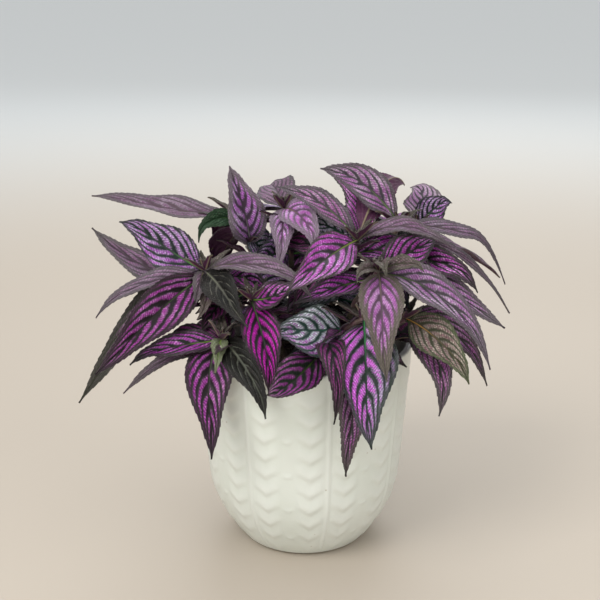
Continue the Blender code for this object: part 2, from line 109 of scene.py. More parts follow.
shoots = {
    "shoot_front_right": newShoot(
        (22, -20), (43, -36, 184),
        leaf(1.00, (44, -78, 134), 27, "rose", arch=18, fold=18),
        leaf(0.97, (111, -48, 132), 24, "heather", arch=26, face=0.6, hook=4),
        leaf(0.98, (80, -8, 196), 25, "magenta", arch=4),
        leaf(0.90, (-5, -60, 172), 18, "magenta", arch=4, face=0.5),
        leaf(1.00, (68, -52, 192), 12, "young", arch=6, face=0.5),
        leaf(1.00, (28, -58, 188), 10, "young", arch=6, face=0.4),
        leaf(1.00, (45, -60, 190), 10, "young", arch=6, face=0.4),
    ),
    "shoot_low_front": newShoot(
        (6, -36), (34, -50, 160),
        leaf(1.00, (35, -88, 97), 38, "halfSheen", arch=12, fold=16),
        leaf(0.90, (21, -80, 77), 20, "plum", arch=0, out=16, sway=10),
        leaf(0.80, (-19, -60, 159), 32, "silver", arch=-4, face=1.0),
        leaf(0.40, (-17, -52, 130), 24, "silver", arch=0, sway=8, face=1.0),
        leaf(0.45, (20, -78, 97), 17, "dusk", arch=30, out=20, sway=-4),
        leaf(0.40, (-20, -96, 131), 25, "shadow", arch=0, out=24, sway=8, face=0.6),
    ),
    "shoot_left": newShoot(
        (-30, -8), (-60, -20, 180),
        leaf(0.97, (-115, -78, 136), 28, "wine", arch=9, face=1.1),
        leaf(0.98, (-110, -2, 210), 29, "violet", arch=-4),
        leaf(0.90, (-133, 12, 199), 22, "mauveSheen", arch=-22, face=0.8),
        leaf(0.93, (-123, -45, 163), 15, "mauveSheen", arch=14, face=0.4),
        leaf(0.80, (-131, -52, 111), 28, "olive", arch=42, face=0.8),
        leaf(1.00, (6, -62, 180), 17, "mauveSheen", arch=18, face=0.4),
        leaf(1.00, (-35, -66, 161), 20, "charcoal", arch=8),
        leaf(1.00, (-64, -40, 164), 9, "mauveSheen", arch=6),
        leaf(0.90, (-60, -46, 159), 11, "rose", arch=4),
        leaf(0.70, (-58, -44, 151), 18, "dusk", arch=0, sway=-6, face=0.5),
    ),
    "shoot_front_left": newShoot(
        (-28, -30), (-49, -44, 145),
        leaf(1.00, (-50, -80, 88), 28, "wine", arch=16, fold=14, sway=-12),
        leaf(1.00, (-20, -84, 115), 20, "charcoal", arch=12),
        leaf(0.95, (-101, -62, 140), 18, "magenta", arch=4, face=0.5),
        leaf(0.60, (-107, -45, 112), 14, "mauveSheen", arch=26, face=0.5),
        leaf(1.00, (-50, -64, 134), 10, "pale", arch=8),
        leaf(0.90, (-94, -40, 136), 24, "dusk", arch=6, sway=6, face=0.5),
    ),
    "shoot_front": newShoot(
        (-12, -26), (-31, -46, 170),
        leaf(1.00, (-18, -80, 127), 24, "vivid", arch=6, out=6, fold=26),
        leaf(1.00, (-3, -66, 187), 19, "magenta", arch=6, face=0.6),
    ),
    "shoot_upper_left": newShoot(
        (-24, 14), (-43, 16, 206),
        leaf(0.72, (-46, -8, 242), 26, "litViolet", arch=0, fold=24, sway=6),
        leaf(0.98, (-134, 22, 216), 22, "mauveSheen", arch=-6, face=0.3, hook=4),
        leaf(0.92, (-58, 42, 178), 24, "dusk", arch=18, face=0),
        leaf(0.92, (-68, 2, 196), 12, "green", arch=14),
        leaf(0.80, (-23, 20, 174), 24, "silver", arch=6, sway=-6, face=0.5),
    ),
    "shoot_crown": newShoot(
        (-6, 14), (-13, 15, 210),
        leaf(1.00, (9, -28, 197), 23, "blush", arch=12, face=0.8),
        leaf(0.98, (-14, -22, 182), 17, "blush", arch=14),
        leaf(0.98, (-23, 60, 215), 27, "mauveSheen", arch=10),
        leaf(1.00, (-1, 40, 213), 14, "mauveSheen", arch=6),
        leaf(0.65, (-32, -4, 183), 22, "violet", arch=2),
    ),
    "shoot_right": newShoot(
        (36, 12), (59, 12, 200),
        leaf(1.00, (10, 4, 235), 24, "heather", arch=20, face=0.8),
        leaf(0.60, (106, -28, 180), 24, "magenta", arch=22),
        leaf(1.00, (122, -8, 168), 13, "mauveSheen", arch=8, face=0.5, hook=24, sway=-6),
        leaf(0.70, (118, -30, 147), 23, "heather", arch=10, face=0.7),
        leaf(0.85, (130, 10, 146), 12, "mauveSheen", arch=32, face=0.3),
    ),
    "shoot_middle": newShoot(
        (14, -2), (32, -8, 196),
        leaf(1.00, (-9, -72, 174), 26, "bright", arch=6, fold=14),
        leaf(1.00, (-16, -6, 226), 17, "heather", arch=16, face=0.7),
        leaf(0.97, (85, -22, 195), 15, "mauveSheen", arch=16, face=0.4),
        leaf(0.97, (15, 34, 229), 20, "bright", arch=2, face=0.7, sway=-24),
        leaf(0.95, (-1, 6, 202), 20, "silver", arch=10),
        leaf(1.00, (66, 34, 223), 22, "dusk", arch=34, roll=180),
        leaf(0.60, (-2, -44, 164), 20, "silver", arch=4),
        leaf(0.30, (-12, -50, 168), 18, "dusk", arch=12, sway=-6, face=0.5),
    ),
    "shoot_low_right": newShoot(
        (36, -18), (60, -32, 154),
        leaf(1.00, (96, -62, 127), 25, "bronze", arch=10),
        leaf(0.97, (82, -62, 106), 24, "plum", arch=16, sway=14),
        leaf(0.95, (113, -28, 118), 22, "plum", arch=24, face=0.7, hook=4),
    ),
    "shoot_back_right": newShoot(
        (30, 34), (74, 40, 192),
        leaf(1.00, (72, 54, 219), 28, "lilac", arch=4, sway=-8),
        leaf(0.98, (94, 44, 210), 20, "violet", arch=6),
    ),
    "shoot_back": newShoot((6, 42), (12, 66, 178)),
    "shoot_back_left": newShoot((-20, 34), (-40, 52, 184)),
}


def outerRadius(height):
    drawIn = potShape["footDrawIn"] * max(0.0, 1 - height / potShape["footHeight"]) ** 2
    return potShape["rimRadius"] - potShape["wallTaper"] * (potShape["height"] - height) - drawIn


def bezier(start, control, end, share):
    return start * (1 - share) ** 2 + control * (2 * share * (1 - share)) + end * share ** 2


def stemPoint(shoot, level):
    x, y = (value * mm for value in shoot["hole"])
    surface = potShape["height"] - potShape["soilDepth"]
    start = Vector((x, y, surface))
    top = Vector(shoot["top"]) * mm
    control = Vector((x, y, surface + stemShape["rise"] * (top.z - surface)))
    if level < 0:
        return start + Vector((0, 0, level * stemShape["buried"]))
    return bezier(start, control, top, level)


def stemRadius(level):
    return stemShape["foot"] + (stemShape["top"] - stemShape["foot"]) * max(0.0, level)


def stemAlong(shoot, level):
    return (stemPoint(shoot, level + 0.01) - stemPoint(shoot, max(0.0, level - 0.01))).normalized()


def towards(heading, rise):
    return Vector((math.cos(heading) * math.cos(rise), math.sin(heading) * math.cos(rise), math.sin(rise)))


# ---- leaf placement: each leaf is bent until it is clear of the pot, the mix and the other shoots ----

def halfWidth(blade, share):
    widest, slim = leafShape["widestAt"], leafShape["tipSlim"]
    inner = max(0.0, (share - leafShape["stalkShare"]) / (1 - leafShape["stalkShare"]))
    rise = (inner / widest) ** (slim * widest / (1 - widest))
    shape = rise * ((1 - inner) / (1 - widest)) ** slim
    stalk = leafShape["stalkHalfWidth"] * (1 - leafShape["stalkTaper"] * share)
    return max(stalk, 0.5 * blade["width"] * shape)


def turnToLight(blade):
    # The turn about the leaf's chord that brings its upper face round to the light
    chord = (blade["tip"] - blade["start"]).normalized()
    side = up.cross(chord).normalized()
    return math.atan2(-side.dot(leafShape["lightFrom"]), chord.cross(side).dot(leafShape["lightFrom"]))


def bladeFrame(blade, share):
    # The midrib's point at a share of the length, with the sideways and upward directions there
    start, end, hook = blade["start"], blade["tip"], blade["hook"]
    away = Vector((end.x - start.x, end.y - start.y, 0))
    side = up.cross(away).normalized()
    lifted = end + Vector((0, 0, hook))
    control = (start + lifted) / 2 + Vector((0, 0, blade["arch"])) + side * blade["sway"]
    control += away.normalized() * blade["out"]
    point = bezier(start, control, lifted, share)
    hookShare = leafShape["hookShare"]
    point.z -= hook * max(0.0, (share - 1 + hookShare) / hookShare) ** 2
    tangent = ((control - start) * (1 - share) + (lifted - control) * share).normalized()
    side = (side - tangent * side.dot(tangent)).normalized()
    upward = tangent.cross(side)
    turn = blade["face"] * blade["toLight"] + blade["roll"]
    side, upward = (side * math.cos(turn) + upward * math.sin(turn),
                    upward * math.cos(turn) - side * math.sin(turn))
    return point, side, upward


def testBlade(blade, outerOnly=False):
    # A closed strip that stands clear of the leaf's faces by half the wanted clearance
    verts, faces = [], []
    gap = leafShape["thickness"] / 2 + leafShape["clearance"] / 2
    reach = 1 + leafShape["toothShare"]
    length = (blade["tip"] - blade["start"]).length
    count = next(rows for limit, rows in leafShape["rows"] if length < limit)
    stalk = leafShape["stalkShare"]
    shares = [0.0] + [stalk + (1 - stalk) * index / (count - 1) for index in range(count)]
    if outerOnly:
        shares = [share for share in shares if share >= leafShape["rootShare"]]
    for share in shares:
        point, side, upward = bladeFrame(blade, share)
        half = halfWidth(blade, share)
        row = []
        for across in (-reach, 0, reach):
            out = side * (across * half * math.cos(blade["fold"]))
            rise = upward * (abs(across) * half * math.sin(blade["fold"]))
            row.append(point + out + rise)
        verts += [corner + upward * gap for corner in row] + [corner - upward * gap for corner in row]
    for index in range(len(shares) - 1):
        low, high = index * 6, index * 6 + 6
        for a, b in ((0, 1), (1, 2), (5, 4), (4, 3), (3, 0), (2, 5)):
            faces.append((low + a, low + b, high + b, high + a))
    return BVHTree.FromPolygons(verts, faces)


def ring(middle, along, radius, count):
    side = along.cross(Vector((0, 1, 0))).normalized()
    other = along.cross(side)
    angles = [index * 2 * math.pi / count for index in range(count)]
    return [middle + (side * math.cos(angle) + other * math.sin(angle)) * radius for angle in angles]


def ringTree(rings):
    # A test surface through rings of points, from the first ring to the last
    size = len(rings[0])
    faces = []
    for row in range(len(rings) - 1):
        for step in range(size):
            low, near = row * size + step, row * size + (step + 1) % size
            faces.append((low, near, near + size, low + size))
    return BVHTree.FromPolygons([point for circle in rings for point in circle], faces)


def potGuard():
    # Stands a little off the relief, the rim and the mix
    gap = leafShape["clearance"] / 2
    margin = potShape["relief"] + gap
    foot, height, sides = potShape["footHeight"], potShape["height"], leafShape["guardSides"]
    profile = [(outerRadius(foot * step / 3) + margin, foot * step / 3) for step in range(4)]
    profile += [(potShape["rimRadius"] + margin, height + gap)]
    inner = potShape["rimRadius"] - potShape["wall"] - 2 * gap
    surface = height - potShape["soilDepth"] + potShape["soilLump"]
    profile += [(inner, height + gap), (inner - potShape["wall"] / 2, surface), (0.1 * mm, surface)]
    return ringTree([ring(up * level, up, radius, sides) for radius, level in profile])


def stemGuard(shoot):
    rings = []
    for level in stemShape["levels"]:
        along, sides = stemAlong(shoot, level), leafShape["guardSides"] // 8
        rings.append(ring(stemPoint(shoot, level), along, stemRadius(level), sides))
    tip = rings[-1]
    rings.append([sum(tip, Vector()) / len(tip)] * len(tip))
    return ringTree(rings)


def bendChoices():
    # Ways to move a leaf's tip and arch, the slightest first, and in depth rather than across the front view
    deep, across = Vector((0, 0.95, -0.3)), Vector((1, 0, 0))
    ways = [(deep, 1.0), (-deep, 1.0), (up, 1.6), (-up, 1.6), (across, 1.8), (-across, 1.8)]
    ways += [(deep + up, 1.3), (deep - up, 1.3), (up - deep, 1.3), (-deep - up, 1.3)]
    choices = []
    for arch in bendRule["arches"]:
        archCost = bendRule["archCost"] * abs(arch)
        choices.append((archCost, arch * mm, Vector((0, 0, 0))))
        for reach in bendRule["reaches"]:
            choices += [(archCost + reach * cost, arch * mm, way * reach * mm) for way, cost in ways]
    return sorted(choices, key=lambda choice: choice[0])


def placeLeaf(name, wanted, placed, guards, choices, lengths=(1.0,)):
    start = stemPoint(shoots[name], wanted["level"])
    for share in lengths:
        for cost, arch, shift in choices:
            blade = dict(wanted, shoot=name, start=start, arch=wanted["arch"] + arch)
            blade["tip"] = start + (wanted["tip"] - start) * share + shift
            blade["toLight"] = turnToLight(blade)
            blade["whole"], blade["outer"] = testBlade(blade), testBlade(blade, outerOnly=True)
            near = [(owner, tree, tree) for owner, tree in guards]
            near += [(other["shoot"], other["whole"], other["outer"]) for other in placed]
            if not any(blade["outer"].overlap(outer) if owner == name else blade["whole"].overlap(whole)
                       for owner, whole, outer in near):
                placed.append(blade)
                return


def ruleLeaf(draw, shoot, level, heading, fall, rule, order):
    # A leaf at a heading and a fall below level, with its length and width drawn near the rule's
    start = stemPoint(shoot, level)
    tip = start / mm + towards(heading, -fall) * rule["length"] * draw.uniform(*ruleSizes)
    width = rule["width"] * draw.uniform(*ruleSizes)
    look = rule["looks"][order % len(rule["looks"])]
    return leaf(level, tip, width, look, arch=draw.uniform(*ruleArch), face=rule["face"])


def backLeaves(draw, shoot):
    # Leaves down the far side of a stem
    outward = math.atan2(shoot["top"][1] - backRule["from"], shoot["top"][0])
    spread = backRule["turnSpread"]
    leaves = []
    for order, turn in enumerate(backRule["turns"] if shoot["leaves"] else backRule["turnsIfBare"]):
        pair = order // 2
        heading = outward + math.radians(turn + draw.uniform(-spread, spread))
        fall = math.radians(draw.uniform(*backRule["fall"]) + backRule["fallStep"] * pair)
        level = 0.97 - backRule["levelStep"] * pair
        wanted = ruleLeaf(draw, shoot, level, heading, fall, backRule, order)
        if wanted["tip"].y > backRule["front"] * mm:
            leaves.append(wanted)
    return leaves


def fillLeaves(draw, shoot):
    # Crosswise pairs down a stem, kept behind the front leaves and above the rim
    heading = draw.uniform(0, math.pi)
    spread = math.radians(fillRule["turnSpread"])
    leaves = []
    for level in fillRule["levels"]:
        for turn in (0, math.pi):
            fall = math.radians(draw.uniform(*fillRule["fall"]))
            wanted = ruleLeaf(draw, shoot, level, heading + turn, fall, fillRule, len(leaves))
            if wanted["tip"].y > fillRule["front"] * mm and wanted["tip"].z > fillRule["low"] * mm:
                leaves.append(wanted)
        heading += math.pi / 2 + draw.uniform(-spread, spread)
    return leaves


def placeLeaves():
    # The named leaves of every shoot first, then the leaves placed by rule
    guards = [("pot", potGuard())] + [(name, stemGuard(shoot)) for name, shoot in shoots.items()]
    placed, choices = [], bendChoices()
    draw = random.Random(backRule["seed"])
    for name, shoot in shoots.items():
        for wanted in shoot["leaves"]:
            placeLeaf(name, wanted, placed, guards, choices, bendRule["lengths"])
    for name, shoot in shoots.items():
        if shoot["top"][1] > backRule["from"]:
            for wanted in backLeaves(draw, shoot):
                placeLeaf(name, wanted, placed, guards, choices[:backRule["tries"]], bendRule["backLengths"])
    for name, shoot in shoots.items():
        for wanted in fillLeaves(draw, shoot):
            if len(placed) < leafShape["limit"]:
                placeLeaf(name, wanted, placed, guards, choices[:fillRule["tries"]])
    return placed


# ---- node helpers ----

class Field:
    # A node's output that can be added, multiplied or faded like a number, each time through another node
    def __init__(self, tree, socket):
        self.tree, self.socket = tree, socket

    def math(self, operation, *values):
        return addMath(self.tree, operation, self, *values)

    def __add__(self, other):
        return self.math("ADD", other)

    def __sub__(self, other):
        return self.math("SUBTRACT", other)

    def __rsub__(self, other):
        return addMath(self.tree, "SUBTRACT", other, self)

    def __mul__(self, other):
        return self.math("MULTIPLY", other)

    def __truediv__(self, other):
        return self.math("DIVIDE", other)

    def __pow__(self, other):
        return self.math("POWER", other)

    def __abs__(self):
        return self.math("ABSOLUTE")

    def fade(self, low, high, fromValue=0.0, toValue=1.0):
        # A smooth step from one value to the other, as the input goes from low to high
        inputs = {"Value": self, "From Min": low, "From Max": high, "To Min": fromValue, "To Max": toValue}
        return addNode(self.tree, "ShaderNodeMapRange", inputs, interpolation_type="SMOOTHSTEP")[0]


def addNode(tree, kind, inputs=None, **settings):
    # Returns the new node's outputs, by their number and by their name
    node = tree.nodes.new(kind)
    for key, value in settings.items():
        setattr(node, key, value)
    for slot, value in (inputs or {}).items():
        if isinstance(value, Field):
            tree.links.new(value.socket, node.inputs[slot])
        else:
            node.inputs[slot].default_value = value
    fields = [Field(tree, socket) for socket in node.outputs]
    return {**{field.socket.name: field for field in fields}, **dict(enumerate(fields))}


def addMath(tree, operation, *values):
    return addNode(tree, "ShaderNodeMath", dict(enumerate(values)), operation=operation)[0]


def mixColor(factor, first, second, blend="MIX"):
    first, second = ((*value, 1.0) if isinstance(value, tuple) else value for value in (first, second))
    tree = next(value.tree for value in (factor, first, second) if isinstance(value, Field))
    inputs = {0: factor, 6: first, 7: second}
    return addNode(tree, "ShaderNodeMix", inputs, data_type="RGBA", blend_type=blend)[2]


def readAttribute(tree, name, output="Color"):
    return addNode(tree, "ShaderNodeAttribute", attribute_name=name)[output]


def noiseAt(place, scale, detail=2.0):
    return addNode(place.tree, "ShaderNodeTexNoise", {"Vector": place, "Scale": scale, "Detail": detail})[0]


def cellsAt(place, scale):
    return addNode(place.tree, "ShaderNodeTexVoronoi", {"Vector": place, "Scale": scale})


def objectPoint(tree):
    return addNode(tree, "ShaderNodeTexCoord")["Object"]


def splitAxes(vector):
    return addNode(vector.tree, "ShaderNodeSeparateXYZ", {0: vector})


def openGroup(name, **inputs):
    # A new node group and its inputs, which are vectors where no value is given
    group = bpy.data.node_groups.new(name, "ShaderNodeTree")
    for label, value in inputs.items():
        kind = "NodeSocketVector" if value is None else "NodeSocketFloat"
        socket = group.interface.new_socket(name=label.replace("_", " "), in_out="INPUT", socket_type=kind)
        if value is not None:
            socket.default_value = value
    return group, addNode(group, "NodeGroupInput")


def closeGroup(group, **outputs):
    for label in outputs:
        group.interface.new_socket(name=label, in_out="OUTPUT", socket_type="NodeSocketFloat")
    addNode(group, "NodeGroupOutput", outputs)
    return group


def newMaterial(name, **values):
    material = bpy.data.materials.new(name)
    material.use_nodes = True
    shader = material.node_tree.nodes["Principled BSDF"]
    for label, value in values.items():
        shader.inputs[label.replace("_", " ")].default_value = value
    return material, material.node_tree


def dress(material, color, bump=None, **fields):
    # Links the colour and other fields to the shader, with a bump of a height, a strength and a distance
    tree = material.node_tree
    if bump:
        inputs = dict(zip(("Height", "Strength", "Distance"), bump))
        fields["Normal"] = addNode(tree, "ShaderNodeBump", inputs)[0]
    for label, field in {"Base Color": color, **fields}.items():
        tree.links.new(field.socket, tree.nodes["Principled BSDF"].inputs[label])
    return material


# ---- pattern groups ----

leafPattern = {
    "veins": 6.0, "climb": 0.50, "bend": 1.55, "halfShift": 0.3, "wander": 0.34, "wanderScale": 2.4,
    "ragged": 0.5, "raggedScale": 9.0, "uneven": 0.7, "unevenScale": 1.7, "widen": 0.2, "narrow": 0.08,
    "midrib": 0.044, "marginWave": 0.13, "marginFade": (0.9, 2.0), "ribSpacing": 0.13, "cells": 11.0,
    "patches": 0.9, "ribLift": 0.25, "cellLift": 0.28,
}


def makeVeinGroup():
    # Side veins, midrib, margin, cross ribs and fine cells, from the leaf's own map and its size in cm
    group, given = openGroup("leaf veins", Shape=None, Metric=None, Chance=0.0, Edge=0.16)
    shape, metric, chance = splitAxes(given["Shape"]), splitAxes(given["Metric"]), given["Chance"]
    # Each leaf reads another part of the noise
    shifted = {"X": metric["X"] + chance * 37.0, "Y": metric["Y"], "Z": chance * 19.0}
    place = addNode(group, "ShaderNodeCombineXYZ", shifted)[0]
    wander = noiseAt(place, leafPattern["wanderScale"]) - 0.5
    across = abs(shape["X"] * 2.0 - 1.0)
    stalk = leafShape["stalkShare"]
    inner = (shape["Y"] - stalk) / (1 - stalk)
    phase = (inner - across ** leafPattern["bend"] * leafPattern["climb"]) * leafPattern["veins"]
    # The two halves' veins don't quite meet
    phase = phase + shape["X"].fade(0.49, 0.51, 0.0, leafPattern["halfShift"])
    phase = phase + wander * leafPattern["wander"]
    between = phase.math("PINGPONG", 0.5) * 2.0
    # Ragged sides, and veins that run wide in some places and narrow in others
    between = between + (noiseAt(place, leafPattern["raggedScale"]) - 0.5) * leafPattern["ragged"]
    between = between + (noiseAt(place, leafPattern["unevenScale"], 1.0) - 0.5) * leafPattern["uneven"]
    between = between - leafPattern["narrow"] + across * leafPattern["widen"]
    # Midrib: narrow, with a darker band beside it, both finer towards the tip
    acrossSize = abs(metric["X"])
    fromRib = acrossSize / (shape["Y"].fade(0.0, 1.0, 1.0, 0.4) * leafPattern["midrib"])
    midrib = fromRib.fade(0.6, 1.6, 1.0, 0.0)
    keel = (wander * 1.5 + fromRib).fade(1.4, 3.6, 1.0, 0.0)
    # Margin: wider where a vein meets it
    edge = between * leafPattern["marginWave"] + metric["Z"] + wander * 0.14
    margin = (edge / given["Edge"]).fade(*leafPattern["marginFade"], 1.0, 0.0)
    # Fine ribs that cross from vein to vein
    ladder = acrossSize * 0.78 + metric["Y"] * 0.62 + wander * 0.16
    ribs = (ladder * (2 * math.pi / leafPattern["ribSpacing"])).math("SINE") * 0.5 + 0.5
    # Small raised cells, each with a chance of its own
    pebbles = cellsAt(place, leafPattern["cells"])
    cells = pebbles["Distance"].fade(0.12, 0.62, 1.0, 0.0)
    pick = addNode(group, "ShaderNodeSeparateColor", {0: pebbles["Color"]})[0]
    height = between.fade(0.0, 0.5) * 0.5 + ribs * leafPattern["ribLift"] + cells * leafPattern["cellLift"]
    return closeGroup(
        group, Between=between, Midrib=midrib, Keel=keel, Margin=margin, Ribs=ribs, Cells=cells, Pick=pick,
        Patches=noiseAt(place, leafPattern["patches"], 1.0), Height=height * (1 - midrib),
    )


def makeMottleGroup():
    # Uneven tone: broad clouds and fine grain, both from 0 to 1
    group, given = openGroup("mottle", Vector=None, Broad_Scale=20.0, Fine_Scale=300.0)
    broad = noiseAt(given["Vector"], given["Broad Scale"])
    fine = noiseAt(given["Vector"], given["Fine Scale"], 4.0)
    return closeGroup(group, Broad=broad.fade(0.3, 0.7), Fine=fine.fade(0.3, 0.7))


veinGroup = makeVeinGroup()
mottleGroup = makeMottleGroup()


def addMottle(tree, broadScale, fineScale):
    inputs = {"Vector": objectPoint(tree), "Broad Scale": broadScale, "Fine Scale": fineScale}
    mottle = addNode(tree, "ShaderNodeGroup", inputs, node_tree=mottleGroup)
    return mottle["Broad"], mottle["Fine"]


def addVeins(tree):
    inputs = {
        "Shape": addNode(tree, "ShaderNodeUVMap", uv_map="shape")[0],
        "Metric": readAttribute(tree, "metric", "Vector"), "Chance": readAttribute(tree, "traits", "Fac"),
        "Edge": readAttribute(tree, "margin", "Alpha"),
    }
    return addNode(tree, "ShaderNodeGroup", inputs, node_tree=veinGroup), splitAxes(inputs["Shape"])


# ---- leaf materials ----

def look(panel, sheen, vein, margin, rib, silver=0.3, gloss=0.5, edge=0.16, spread=0.5, grain=1.0):
    # Colours of the panels between the veins, the painted sheen on them, the veins, the margin and the
    # midrib's base. silver is how far the painted sheen covers the panels, edge the margin's width in
    # centimetres, spread the veins' width, and grain how strongly the fine cells' painted highlight and
    # shade show: each is the fourth value of one of the colours
    return {
        "panel": (*panel, gloss), "sheen": (*sheen, silver), "vein": (*vein, spread),
        "margin": (*margin, edge), "rib": (*rib, grain),
    }


colorLayers = ("panel", "sheen", "vein", "margin", "rib")
looks = {
    "magenta": look(
        (0.36, 0.042, 0.34), (0.48, 0.25, 0.50), (0.009, 0.012, 0.009), (0.026, 0.026, 0.020),
        (0.12, 0.21, 0.03), edge=0.22, spread=0.7,
    ),
    "wine": look(
        (0.25, 0.033, 0.23), (0.31, 0.14, 0.30), (0.008, 0.005, 0.006), (0.020, 0.013, 0.015),
        (0.06, 0.10, 0.03), edge=0.26, spread=1.0,
    ),
    "bright": look(
        (0.44, 0.070, 0.42), (0.55, 0.28, 0.55), (0.030, 0.026, 0.028), (0.040, 0.040, 0.028),
        (0.20, 0.27, 0.05), silver=0.35, gloss=0.6, edge=0.15,
    ),
    "vivid": look(
        (0.34, 0.008, 0.27), (0.36, 0.050, 0.30), (0.008, 0.007, 0.008), (0.014, 0.012, 0.012),
        (0.04, 0.08, 0.02), silver=0.1, spread=0.8, edge=0.2,
    ),
    "violet": look(
        (0.27, 0.075, 0.33), (0.40, 0.30, 0.48), (0.010, 0.018, 0.015), (0.022, 0.028, 0.024),
        (0.06, 0.18, 0.03), silver=0.5, gloss=0.6, spread=0.7,
    ),
    # Lighter panels, more of them under the painted sheen: partly painted light and reflection
    "silver": look(
        (0.40, 0.150, 0.46), (0.50, 0.52, 0.58), (0.012, 0.034, 0.026), (0.045, 0.062, 0.058),
        (0.02, 0.13, 0.07), silver=0.60, gloss=0.5, spread=0.5,
    ),
    # Its painted sheen lies on one half of the leaf, where the light catches it, and the panel colour shows
    # on the other
    "halfSheen": look(
        (0.66, 0.140, 0.72), (0.32, 0.27, 0.40), (0.012, 0.024, 0.018), (0.032, 0.044, 0.038),
        (0.03, 0.17, 0.05), silver=0.44, gloss=0.7, edge=0.24, spread=0.5,
    ),
    "rose": look(
        (0.39, 0.115, 0.39), (0.43, 0.25, 0.44), (0.075, 0.040, 0.068), (0.100, 0.090, 0.062),
        (0.16, 0.13, 0.11), silver=0.4, gloss=0.3, edge=0.34, spread=0.35, grain=0.7,
    ),
    # Lighter panels, partly painted light for top leaves lit from above
    "blush": look(
        (0.62, 0.170, 0.64), (0.56, 0.42, 0.62), (0.120, 0.065, 0.115), (0.17, 0.13, 0.16),
        (0.20, 0.15, 0.10), silver=0.45, gloss=0.15, edge=0.3, spread=0.35, grain=0.7,
    ),
    # A lighter copy of violet, painted light for an upright leaf turned to the light
    "litViolet": look(
        (0.60, 0.190, 0.70), (0.56, 0.42, 0.62), (0.055, 0.040, 0.060), (0.19, 0.16, 0.18),
        (0.30, 0.28, 0.27), silver=0.4, gloss=0.3, edge=0.3, spread=0.6,
    ),
    # A lighter copy of plum, partly painted light for leaves that catch more of the light
    "heather": look(
        (0.38, 0.150, 0.37), (0.45, 0.34, 0.44), (0.050, 0.042, 0.050), (0.105, 0.090, 0.096),
        (0.12, 0.18, 0.06), silver=0.4, gloss=0.25, edge=0.24, spread=0.45, grain=0.8,
    ),
    "plum": look(
        (0.25, 0.065, 0.22), (0.30, 0.17, 0.28), (0.024, 0.020, 0.022), (0.062, 0.052, 0.050),
        (0.09, 0.17, 0.04), silver=0.4, gloss=0.4, edge=0.2,
    ),
    # A dull mauve with the grey sheen of the leaf's fine hairs at a grazing angle painted into its colours
    "mauveSheen": look(
        (0.20, 0.095, 0.18), (0.23, 0.165, 0.22), (0.070, 0.046, 0.062), (0.092, 0.076, 0.082),
        (0.12, 0.11, 0.07), silver=0.5, gloss=0.1, spread=0.3, grain=0.6, edge=0.2,
    ),
    # Lighter panels, partly painted light for a leaf lit from above
    "lilac": look(
        (0.40, 0.220, 0.42), (0.46, 0.37, 0.46), (0.075, 0.062, 0.078), (0.15, 0.13, 0.14),
        (0.15, 0.12, 0.13), silver=0.5, gloss=0.1, spread=0.3, grain=0.45, edge=0.15,
    ),
    "shadow": look(
        (0.24, 0.035, 0.22), (0.26, 0.13, 0.24), (0.008, 0.014, 0.008), (0.022, 0.020, 0.016),
        (0.06, 0.12, 0.02), spread=1.0, edge=0.12,
    ),
    "dusk": look(
        (0.15, 0.018, 0.11), (0.18, 0.070, 0.15), (0.007, 0.007, 0.007), (0.018, 0.013, 0.012),
        (0.03, 0.05, 0.02), silver=0.25, spread=0.8,
    ),
    "olive": look(
        (0.25, 0.090, 0.23), (0.30, 0.21, 0.28), (0.026, 0.028, 0.018), (0.034, 0.036, 0.022),
        (0.07, 0.08, 0.03), silver=0.4, gloss=0.3, edge=0.35, spread=0.6, grain=0.8,
    ),
    "charcoal": look(
        (0.008, 0.008, 0.006), (0.024, 0.021, 0.018), (0.080, 0.082, 0.066), (0.012, 0.010, 0.009),
        (0.14, 0.15, 0.10), silver=0.35, gloss=0.2, spread=-0.35, grain=1.2,
    ),
    "young": look(
        (0.13, 0.075, 0.09), (0.17, 0.14, 0.13), (0.055, 0.050, 0.038), (0.080, 0.072, 0.056),
        (0.12, 0.13, 0.06), silver=0.4, gloss=0.1, spread=0.2, grain=0.8,
    ),
    "bronze": look(
        (0.19, 0.100, 0.12), (0.27, 0.24, 0.20), (0.040, 0.042, 0.024), (0.060, 0.075, 0.036),
        (0.50, 0.28, 0.07), silver=0.5, gloss=0.2, spread=0.4, grain=0.9,
    ),
    "pale": look(
        (0.19, 0.22, 0.13), (0.31, 0.33, 0.24), (0.12, 0.16, 0.06), (0.15, 0.17, 0.10), (0.20, 0.28, 0.06),
        silver=0.4, gloss=0.2, spread=0.2, grain=0.6,
    ),
    "green": look(
        (0.025, 0.065, 0.030), (0.07, 0.12, 0.07), (0.012, 0.032, 0.014), (0.020, 0.045, 0.020),
        (0.05, 0.11, 0.03), gloss=0.4,
    ),
}


